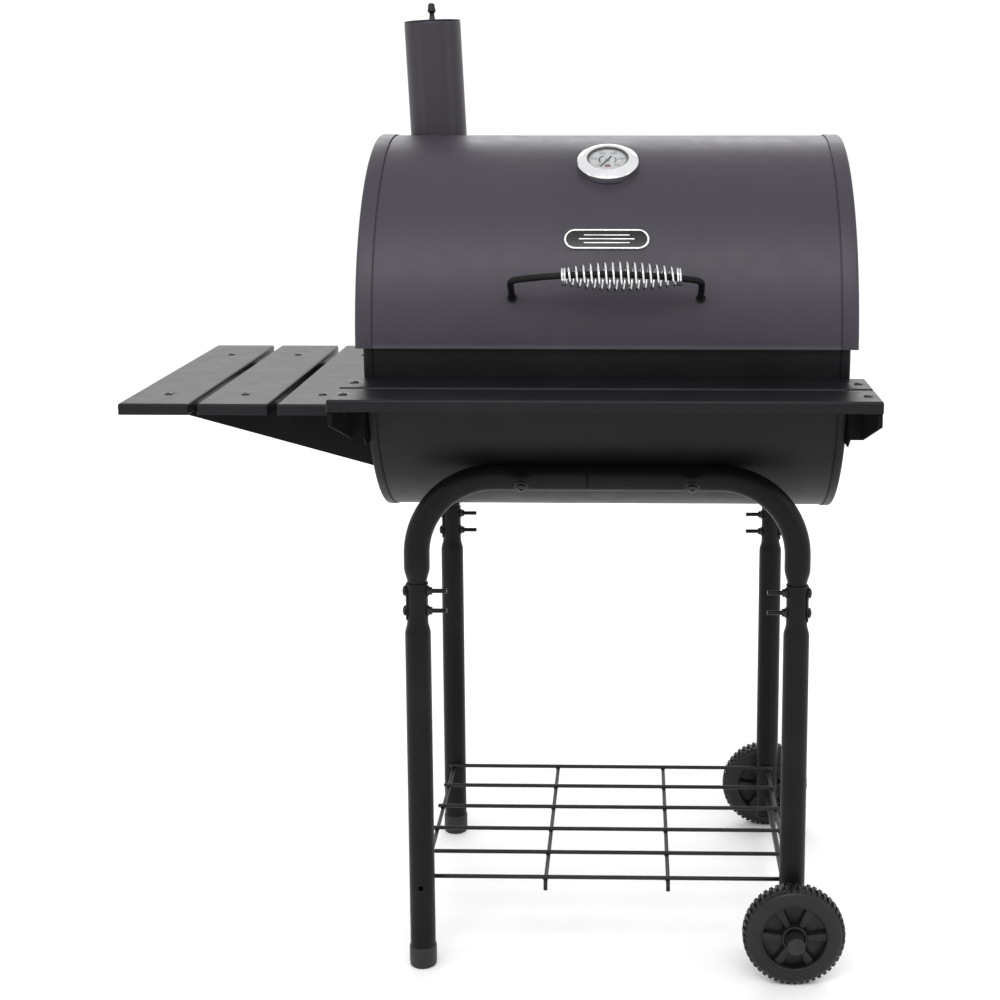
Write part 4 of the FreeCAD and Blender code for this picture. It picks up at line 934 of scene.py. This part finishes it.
def wheels_and_axle():
    for end, face in FACES.items():
        wheel(end, face)
    caps = Form()
    low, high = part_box("axle_caps")
    radius = (high.x - low.x) / 2
    for end, face in FACES.items():
        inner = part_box("wheel_" + end)[0].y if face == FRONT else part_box("wheel_" + end)[1].y
        outer = low.y if face == FRONT else high.y
        long = abs(outer - inner) - 0.5 * MM
        at = Vector((middle("axle_caps").x, inner + 0.5 * MM * face, middle("axle_caps").z))
        outline = [(0, 0), (radius - 0.5 * MM, 0), (radius, 0.6 * MM), (radius - 0.2 * MM, long - 3.4 * MM)]
        outline += arc((radius - 3.2 * MM, long - 3 * MM), 3 * MM, 0, 80, 6)
        outline += beyond(radius, long, (-4.6, -0.1), (-5.2, -0.5)) + [(0, long - 0.6 * MM)]
        caps.lathe(outline, at, Y * face, 48)
    piece("axle_dome_caps", caps, "cap_plastic", "cart", "axle_caps")


# ---------------------------------------------------------------- shelves

def tray_marks(long, bend, spots):
    """Grid lines along one side of a tray: close at the bends and round the screws."""
    edge = [0, 0.12, 0.3, 0.55, 0.8, 1]
    marks = [bend * step for step in edge] + [long - bend * step for step in edge]
    for spot in spots:
        marks += [spot + step * 2.2 * MM for step in range(-6, 7)]
    marks += spread(bend, long - bend, max(6, round(long / (14 * MM))))
    kept = []
    for mark in sorted(marks):
        if 0 <= mark <= long and (not kept or mark - kept[-1] > 0.3 * MM):
            kept.append(mark)
    if long - kept[-1] > 0.01 * MM:
        kept[-1] = long
    return kept


def tray(name, node, screws):
    """A folded sheet tray, open below, with round bends and a dimple under each screw."""
    low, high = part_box(node)
    bend = 3 * MM
    long, wide, deep = high - low
    xs = tray_marks(long, bend, [screw.x - low.x for screw in screws])
    ys = tray_marks(wide, bend, [screw.y - low.y for screw in screws])
    form = Form()

    def surface(u, v):
        over_u = max(bend - u, bend - (long - u), 0)
        over_v = max(bend - v, bend - (wide - v), 0)
        reach = max(over_u, over_v)
        if over_u and over_v:
            length = math.hypot(over_u, over_v)
            over_u, over_v = over_u * reach / length, over_v * reach / length
        side_u = bend - over_u if u < long / 2 else long - bend + over_u
        side_v = bend - over_v if v < wide / 2 else wide - bend + over_v
        place_u = side_u if over_u else u
        place_v = side_v if over_v else v
        drop = bend - math.sqrt(max(0, bend * bend - reach * reach))
        point = Vector((low.x + place_u, low.y + place_v, high.z - drop))
        sag = 0.25 * MM * math.sin(math.pi * u / long) * math.sin(math.pi * v / wide)
        dimple = 0
        for screw in screws:
            away = (Vector((screw.x, screw.y, point.z)) - point).length
            dimple = max(dimple, 1.5 * MM * smooth_step(1 - (away - 3.5 * MM) / (8.5 * MM)))
        return point - Z * (sag + dimple)

    rows = [[surface(u, v) for v in ys] for u in xs]
    form.loft(rows, around=False, cap_start=False, cap_end=False)
    rim = [row[0] for row in rows] + rows[-1][1:] + [row[-1] for row in reversed(rows[:-1])]
    rim += list(reversed(rows[0][1:-1]))
    skirts = [rim]
    for level in (high.z - deep * 0.45, low.z + 1.5 * MM, low.z):
        skirts.append([Vector((point.x, point.y, level)) for point in rim])
    form.loft(skirts, cap_start=False, cap_end=False)
    thing = piece(name, form, "shelf_paint", "cart", node, crease=60)
    solid = thing.modifiers.new("Sheet", "SOLIDIFY")
    solid.thickness = SHEET
    solid.offset = -1
    solid.use_even_offset = True


def shelf_screw_spots():
    """Every shelf screw, read from the boxes of the slats and brackets."""
    spots = {}
    brackets = {end: middle("side_bracket_" + end).y for end in FACES}
    for number in (1, 2, 3):
        node = "side_slat_%d" % number
        spots[node] = [Vector((middle(node).x, brackets[end], top(node))) for end in FACES]
    reach = 301 * MM
    for row in ("inner", "outer"):
        node = "front_slat_" + row
        spots[node] = [Vector((CENTRE.x + reach * hand, middle(node).y, top(node))) for hand in (LEFT, RIGHT)]
    return spots


def shelves():
    screws = Form()
    for node, spots in shelf_screw_spots().items():
        tray("folded_" + node, node, spots)
        for spot in spots:
            dome_head(screws, spot - Z * 1.5 * MM, Z, 5.2 * MM, 2.8 * MM)
            threaded(screws, spot - Z * 3 * MM, -Z, 2.5 * MM, 19 * MM)
            hex_nut(screws, spot - Z * 17 * MM, -Z, 4.6 * MM, 4 * MM)
    piece("shelf_screw_set", screws, "black_fastener", "cart", "shelf_screws")


# ---------------------------------------------------------------- lid furniture

def handle():
    """Bent rod between its two feet in the lid, and the loose wire coil on it."""
    nut_low, nut_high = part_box("handle_nuts")
    half = (nut_high.x - nut_low.x) / 2 - 8 * MM
    tilt = radial(35)
    foot = CENTRE + radial(14) * LID_RAD
    bend, bow, reach = 12 * MM, 13 * MM, 47 * MM
    rise = reach - bend
    shoulder = half - bend
    bow_rad = (shoulder ** 2 + bow ** 2) / (2 * bow)
    slope = math.asin(shoulder / bow_rad)
    path = [(-half, -10 * MM), (-half, rise * 0.5)]
    for turn in spread(-math.pi / 2, -slope, 8):
        path.append((-shoulder + bend * math.sin(turn), rise + bend * math.cos(turn)))
    crown = rise + bend + bow
    for turn in spread(-slope, slope, 40)[1:-1]:
        path.append(((bow_rad + bend) * math.sin(turn), crown - (bow_rad + bend) * (1 - math.cos(turn))))
    for turn in spread(slope, math.pi / 2, 8):
        path.append((shoulder + bend * math.sin(turn), rise + bend * math.cos(turn)))
    path += [(half, rise * 0.5), (half, -10 * MM)]
    rod = Form()
    rod.tube([foot + X * across + tilt * up for across, up in path], 4 * MM, 28)
    for hand in SIDES.values():
        seat = foot + X * (half * hand)
        collar = beyond(0, 0, (0, 0.2), (6, 0.2), (5.8, 1), (4.4, 1.6), (3.9, 3))
        rod.lathe(collar, seat + tilt * 0.8 * MM, tilt, 32)
    piece("bent_rod", rod, "tube_paint", "lid", "handle_rod", crease=60)
    wire_coil()


def wire_coil():
    """Barrel-shaped spring: two close turns at each end and an even pitch between."""
    low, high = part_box("handle_spring")
    wire = 1.35 * MM
    axis = middle("handle_spring")
    end_rad, middle_rad = 9.6 * MM, (high.z - low.z) / 2 - wire
    turns, per_turn = 19, 28
    start, stop = low.x + wire, high.x - wire
    close = 3.1 * MM
    span = stop - start
    pitch = (span - 4 * close) / (turns - 4)
    path = []
    for step in range(turns * per_turn + 1):
        turn = step / per_turn
        from_left = min(turn, turns - turn)
        along = from_left * close if from_left < 2 else 2 * close + (from_left - 2) * pitch
        across = start + along if turn < turns / 2 else stop - along
        share = (across - start) / span
        radius = mix(end_rad, middle_rad, math.sin(math.pi * share) ** 1.1)
        angle = math.tau * turn
        path.append(Vector((across, axis.y + radius * math.cos(angle), axis.z + radius * math.sin(angle))))
    coil = Form()
    coil.tube(path, wire, 10)
    piece("wire_coil", coil, "chrome", "grip", "handle_spring", crease=70)


def gauge_case():
    """Skirt, rounded bezel and dial well, with the probe behind; the bezel has a notch at each side."""
    rim = extent("thermometer_case").x / 2
    case = Form()
    skirt = [(0, -1.5 * MM)] + beyond(rim, 0, (-4, -1.5), (-3.4, 0.5), (-3, 5))
    bezel = arc((rim - 2.2 * MM, 8 * MM), 2.2 * MM, -60, 70, 8)
    slope = beyond(rim, 0, (-4, 11.5), (-7, 13.4), (-9.5, 14.3), (-11.6, 14.5))
    well = beyond(rim, 0, (-12.6, 14), (-13, 12.4), (-13, 10.2)) + [(0, 10.2 * MM)]
    case.lathe(skirt + bezel + slope + well, GAUGE_SEAT, GAUGE_OUT, 96)
    case.lathe(beyond(0, 0, (0, 0), (3.5, 0), (3.5, -58), (2.4, -60), (0, -60)), GAUGE_SEAT, GAUGE_OUT, 24)
    for hand in SIDES.values():
        notch = GAUGE_SEAT + X * (rim - 7.5 * MM) * hand + GAUGE_OUT * 13.2 * MM
        case.press(notch, -GAUGE_OUT, 4 * MM, 0.9 * MM)
    piece("gauge_case", case, "chrome", "lid", "thermometer_case", crease=40)


def gauge_dial():
    """The dial with its spindle, a black ring round it as painted shade in the gap under the bezel's inner
    wall, and the print on it.
    """
    dial_rad = extent("thermometer_dial").x / 2
    dial = Form()
    dial.lathe([(0, 9.9 * MM)] + beyond(dial_rad, 0, (0, 9.9), (0, 10.55), (-0.3, 10.6))
               + [(dial_rad * 0.5, 10.6 * MM), (0, 10.6 * MM)], GAUGE_SEAT, GAUGE_OUT, 64)
    dial.lathe(beyond(0, 0, (1, 10.6), (1, 12.1), (0, 12.2)), GAUGE_SEAT, GAUGE_OUT, 20)
    piece("gauge_dial", dial, "dial_face", "lid", "thermometer_dial")
    # A black ring round the dial: painted shade in the gap between the bezel's inner wall and the dial.
    painted_shade_ring = Form()
    lip = beyond(dial_rad, 0, (-0.9, 10.6), (0.3, 10.6), (0.3, 12.95), (-0.2, 12.95))
    painted_shade_ring.lathe(lip, GAUGE_SEAT, GAUGE_OUT, 64, closed=True)
    piece("gauge_painted_shade_ring", painted_shade_ring, "needle_paint", "lid")
    dial_print(dial_rad)


def gauge_needle():
    """A tapered blade with a short tail, and its hub."""
    needle = Form()
    rest_angle = 240
    along = swing(X, GAUGE_UP, rest_angle)
    aside = swing(X, GAUGE_UP, rest_angle + 90)
    rings = []
    for reach, half in ((-8.6, 1.05), (-5, 0.95), (0, 1.05), (12, 0.95), (18, 0.6)):
        centre = GAUGE_SEAT + along * reach * MM
        section = ((-half, 11.3), (half, 11.3), (half, 11.7), (0, 11.85), (-half, 11.7))
        rings.append([centre + aside * v * MM + GAUGE_OUT * w * MM for v, w in section])
    needle.loft(rings)
    hub = beyond(0, 0, (1.05, 11.2), (2.4, 11.2), (2.4, 11.7), (1.9, 12), (1.05, 12))
    needle.lathe(hub, GAUGE_SEAT, GAUGE_OUT, 24, closed=True)
    piece("gauge_needle", needle, "needle_paint", "needle", "thermometer_needle")


def gauge_glass():
    glass = Form()
    glass_rad = extent("thermometer_glass").x / 2
    glass.lathe([(0, 13 * MM), (glass_rad, 13 * MM), (glass_rad, 13.5 * MM), (glass_rad * 0.6, 13.85 * MM),
                 (0, 13.95 * MM)], GAUGE_SEAT, GAUGE_OUT, 64)
    piece("gauge_glass_disc", glass, "gauge_glass", "lid", "thermometer_glass", crease=60)


def dial_print(dial_rad):
    """Scale ticks, arcs, a dark red zone and plain numbers, as a thin raised print."""
    face, thick = 10.62 * MM, 0.05 * MM
    scale_start, scale_stop = 225, -45

    def bar(form, degrees, inner, outer, wide):
        along = swing(X, GAUGE_UP, degrees)
        centre = GAUGE_SEAT + along * ((inner + outer) / 2) + GAUGE_OUT * face
        form.block(centre, (outer - inner, wide, thick), along, GAUGE_OUT)

    def band(form, start, stop, inner, outer):
        rings = []
        for degrees in spread(start, stop, 40):
            along = swing(X, GAUGE_UP, degrees)
            rings.append([GAUGE_SEAT + along * reach + GAUGE_OUT * (face + lift)
                          for reach, lift in ((inner, 0), (outer, 0), (outer, thick), (inner, thick))])
        form.loft(rings)

    ink = Form()
    for number, degrees in enumerate(spread(scale_start, scale_stop, 50)):
        major = number % 10 == 0
        bar(ink, degrees, dial_rad * (0.8 if major else 0.86), dial_rad * 0.93, (1.0 if major else 0.5) * MM)
    band(ink, scale_start, scale_stop, dial_rad * 0.93, dial_rad * 0.95)
    band(ink, 215, 120, dial_rad * 0.38, dial_rad * 0.46)
    band(ink, 35, -35, dial_rad * 0.38, dial_rad * 0.43)
    piece("dial_ticks", ink, "dial_face", "lid", finish=PRINT_BLACK)
    warm = Form()
    band(warm, 255, 285, dial_rad * 0.4, dial_rad * 0.62)
    piece("dial_zone", warm, "dial_face", "lid", finish=PRINT_RED)

    for number, degrees in enumerate(spread(scale_start, scale_stop, 5)):
        words = bpy.data.curves.new("Number", "FONT")
        words.body = str((number + 1) * 100)
        words.size = 5.4 * MM
        words.extrude = thick / 2
        words.resolution_u = 3
        words.align_x = "CENTER"
        words.align_y = "CENTER"
        carrier = bpy.data.objects.new("Number", words)
        bpy.context.scene.collection.objects.link(carrier)
        bpy.context.view_layer.update()
        mesh = bpy.data.meshes.new_from_object(carrier.evaluated_get(bpy.context.evaluated_depsgraph_get()))
        bpy.data.objects.remove(carrier)
        spot = GAUGE_SEAT + swing(X, GAUGE_UP, degrees) * (dial_rad * 0.64) + GAUGE_OUT * (face + thick / 2)
        stand = Matrix((X, GAUGE_UP, GAUGE_OUT)).transposed().to_4x4()
        stand.translation = spot
        mesh.transform(stand)
        numeral = bpy.data.objects.new("dial_number_%d" % (number + 1), mesh)
        bpy.context.scene.collection.objects.link(numeral)
        numeral.data.materials.clear()
        numeral.data.materials.append(PRINT_BLACK)
        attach(numeral, "lid")


def badge():
    """Plain plate with a bright raised border round a dark field and three plain bars."""
    out = radial(BADGE_TILT)
    right, above = X, out.cross(X)
    seat = CENTRE + out * LID_RAD
    long, high = extent("badge_plate").x / 2, 13.5 * MM
    thick = 3 * MM

    def rounded(inset, height):
        corner = high - inset
        right_side = [(long - high + across, up) for across, up in arc((0, 0), corner, -90, 90, 14)]
        left_side = [(-long + high + across, up) for across, up in arc((0, 0), corner, 90, 270, 14)]
        return [seat + right * across + above * up + out * height for across, up in right_side + left_side]

    plate = Form()
    edge = beyond(0, 0, (0.4, -1), (0, 0.6))
    edge += beyond(0, thick, (0, -0.8), (0.5, -0.2), (1.2, 0), (2, -0.1), (2.4, -0.6), (2.6, -1.4))
    plate.loft([rounded(inset, height) for inset, height in edge])
    piece("badge_frame", plate, "badge_metal", "lid", "badge_plate")
    field = Form()
    field.loft([rounded(inset, height)
                for inset, height in beyond(0, thick, (2.4, -2), (2.7, -1.2), (3.2, -1.1))])
    piece("badge_field", field, "badge_metal", "lid", finish=LOOKS["black_fastener"])
    bars = Form()
    for number in (-1, 0, 1):
        half = (long - 18 * MM) * (1 - 0.18 * abs(number))
        centre = seat + above * (number * 5.2 * MM) + out * (thick - 0.9 * MM)
        bars.block(centre, (half * 2, 1.5 * MM, 1.2 * MM), right, out)
    piece("badge_bars", bars, "badge_metal", "lid", bevel=0.3 * MM)


def vents(at, first, long):
    """Three draught holes round the stack's axis, the first one at this many degrees."""
    turns = (first, first + 120, first + 240)
    return [(at + swing(STACK_SIDE, Y, turn) * VENT_PITCH, STACK_UP, VENT_RAD, long) for turn in turns]


def stack_pipe():
    """Leaning pipe with a rolled rim and a pierced top plate."""
    start = 29 * MM
    levels = [start] + spread(start + 2 * MM, STACK_LONG - 6 * MM, 24)
    outer = [(STACK_RAD, level) for level in levels]
    outer += beyond(STACK_RAD, STACK_LONG, (0, -2.4), (-0.4, -0.6), (-1.1, 0))
    bore, under = STACK_RAD - SHEET, STACK_LONG - SHEET
    inner = [(0, STACK_LONG), (0, under), (bore, under - 0.4 * MM), (bore, start)]
    pipe = Form()
    pipe.lathe(outer + inner, STACK_BASE, STACK_UP, 72, closed=True)
    for number in range(1, 4):
        level = STACK_BASE + STACK_UP * (STACK_LONG * 0.24 * number)
        pipe.press(level - Y * STACK_RAD, Y, 60 * MM, 0.12 * MM)
    # The pipe wears the darker copy of the barrel paint, as painted shade.
    stack = piece("stack_pipe", pipe, "barrel_paint", "lid", "chimney_pipe", crease=45, finish=PAINTED_SHADE_STACK_PAINT)
    drill(stack, vents(STACK_RIM, 30, 12 * MM))


def stack_feet():
    """Two tabs bent to the lid's curve, in front of the pipe and behind it, and their screws."""
    tabs = Form()
    screws = Form()
    for face in FACES.values():
        rings = []
        for share in spread(0, 1, 8):
            y = STACK_Y - CENTRE.y + face * (STACK_RAD - 3 * MM + 17 * MM * share)
            turn = math.degrees(math.acos(-y / LID_RAD))
            half = 8 * MM * math.sqrt(max(0.08, min(1, (1 - share) * 2.6)))
            under, over = LID_RAD - 0.2 * MM, LID_RAD + 1.3 * MM
            rings.append([CENTRE + X * (STACK_X - CENTRE.x + across) + radial(turn) * level
                          for across, level in ((-half, under), (half, under), (half, over), (-half, over))])
        tabs.loft(rings)
        y = STACK_Y - CENTRE.y + face * (STACK_RAD + 8 * MM)
        turn = math.degrees(math.acos(-y / LID_RAD))
        seat = CENTRE + X * (STACK_X - CENTRE.x) + radial(turn) * (LID_RAD + 1.2 * MM)
        dome_head(screws, seat, radial(turn), 4.5 * MM, 2.4 * MM)
    piece("stack_tabs", tabs, "barrel_paint", "lid", bevel=0.3 * MM)
    piece("stack_screws", screws, "black_fastener", "lid", "chimney_screws")


def damper():
    """The pierced disc that turns on the pipe's rim, with its finger tab."""
    seat = STACK_RIM + STACK_UP * 0.3 * MM
    disc = Form()
    thick = 1.5 * MM
    disc.lathe([(0, 0), (STACK_RAD - 0.4 * MM, 0), (STACK_RAD, 0.4 * MM), (STACK_RAD, thick - 0.4 * MM),
                (STACK_RAD - 0.4 * MM, thick), (0, thick)], seat, STACK_UP, 72)
    rings = []
    for reach, half in beyond(STACK_RAD, 0, (-4, 6), (4, 6), (7, 5), (8, 3)):
        rings.append([seat - STACK_SIDE * reach + Y * across + STACK_UP * height
                      for across, height in ((-half, 0), (half, 0), (half, thick), (-half, thick))])
    disc.loft(rings)
    drill(piece("damper_disc", disc, "barrel_paint", "damper", "chimney_damper"), vents(seat, 90, 8 * MM))


def damper_knob():
    """Acorn knob on the damper's bolt, whose nut is under the pipe's top plate."""
    knob = Form()
    collar = beyond(0, 0, (0, 1.9), (7, 1.9), (7, 2.7), (6.2, 3.2), (4.6, 3.7), (3.9, 5), (3.4, 8), (3.2, 11))
    acorn = beyond(0, 0, (3.9, 12.6), (5.8, 14.6), (6, 16), (5.8, 18), (5.3, 20), (4.8, 22.4), (4, 24.2))
    knob.lathe(collar + acorn + beyond(0, 0, (2.6, 25.3), (0, 25.8)), STACK_RIM, STACK_UP, 36)
    for number in range(6):
        away = swing(STACK_SIDE, Y, 60 * number)
        knob.press(STACK_RIM + STACK_UP * (18.5 * MM) + away * (6 * MM), -away, 4.4 * MM, 1.2 * MM)
    shank = beyond(0, 0, (0, -12), (3, -12), (3, 2.2), (0, 2.2))
    knob.lathe(shank, STACK_RIM, STACK_UP, 24)
    hex_nut(knob, STACK_RIM - STACK_UP * 1.4 * MM, -STACK_UP, 6 * MM, 4 * MM)
    piece("damper_knob", knob, "black_fastener", "lid", "damper_bolt")


def chimney():
    stack_pipe()
    stack_feet()
    damper()
    damper_knob()


# ---------------------------------------------------------------- light, floor and camera

def studio():
    world = bpy.data.worlds.new("Studio")
    world.use_nodes = True
    world.node_tree.nodes["Background"].inputs["Color"].default_value = (1, 1, 1, 1)
    world.node_tree.nodes["Background"].inputs["Strength"].default_value = 1.06
    bpy.context.scene.world = world
    bpy.context.scene.view_settings.view_transform = "Standard"

    floor = Form()
    half = 30
    floor.loft([[Vector((-half, y, 0)), Vector((half, y, 0))] for y in (-half, half)], around=False,
               cap_start=False, cap_end=False)
    ground = bpy.data.objects.new("Floor", finished_mesh("Floor", floor, 30))
    bpy.context.scene.collection.objects.link(ground)
    pale = Look("floor_pale", 0.9, Specular_IOR_Level=0.1)
    pale.set_colour(pale.tint(3, 2, (0.96, 0.96, 0.96), (0.97, 0.97, 0.97)))
    ground.data.materials.append(pale.material)

    lamp("Front", Vector((0, -2.3, 2.9)), CENTRE, (2.6, 1.0), 42)
    lamp("Back", Vector((0, 3.4, 2.8)), CENTRE, (3.4, 0.9), 42)
    lamp("Left", Vector((-2.4, -1.4, 1.7)), CENTRE, (0.6, 2.0), 7)
    lamp("Right", Vector((2.6, -1.0, 1.6)), CENTRE, (0.6, 2.0), 7)


def lamp(name, at, target, sizes, power):
    light = bpy.data.lights.new(name, "AREA")
    light.shape = "RECTANGLE"
    light.size, light.size_y = sizes
    light.energy = power
    thing = bpy.data.objects.new(name, light)
    thing.location = at
    thing.rotation_euler = (target - at).to_track_quat("-Z", "Y").to_euler()
    bpy.context.scene.collection.objects.link(thing)


def camera():
    """From the front, from just above the lid's crest, tilted down a little."""
    data = bpy.data.cameras.new("Camera")
    data.lens = 59.23
    data.sensor_width = 36
    data.shift_x = -0.10
    data.shift_y = -0.15
    data.clip_end = 200
    thing = bpy.data.objects.new("Camera", data)
    thing.location = Vector((CENTRE.x + 0.032, CENTRE.y - 2.22, 1.121))
    pitch, yaw = math.radians(8.55), math.radians(1.15)
    thing.rotation_euler = (math.pi / 2 - pitch, 0, yaw)
    bpy.context.scene.collection.objects.link(thing)
    bpy.context.scene.camera = thing


dress_cad_nodes()
# The shelf brackets wear the dull copy of the shelf paint, as painted shade under the shelves.
edge_cad_nodes(["side_bracket_front", "side_bracket_rear", "front_bracket_left", "front_bracket_right"],
               0.4 * MM, PAINTED_SHADE_MATT_PAINT)
edge_cad_nodes(["hinge_lower_leaves", "hinge_upper_leaves", "air_shutter"], 0.3 * MM)
barrel()
cart_tubes()
foot_caps()
frame_bolts()
wire_rack()
wheels_and_axle()
shelves()
handle()
gauge_case()
gauge_dial()
gauge_needle()
gauge_glass()
badge()
chimney()
studio()
camera()
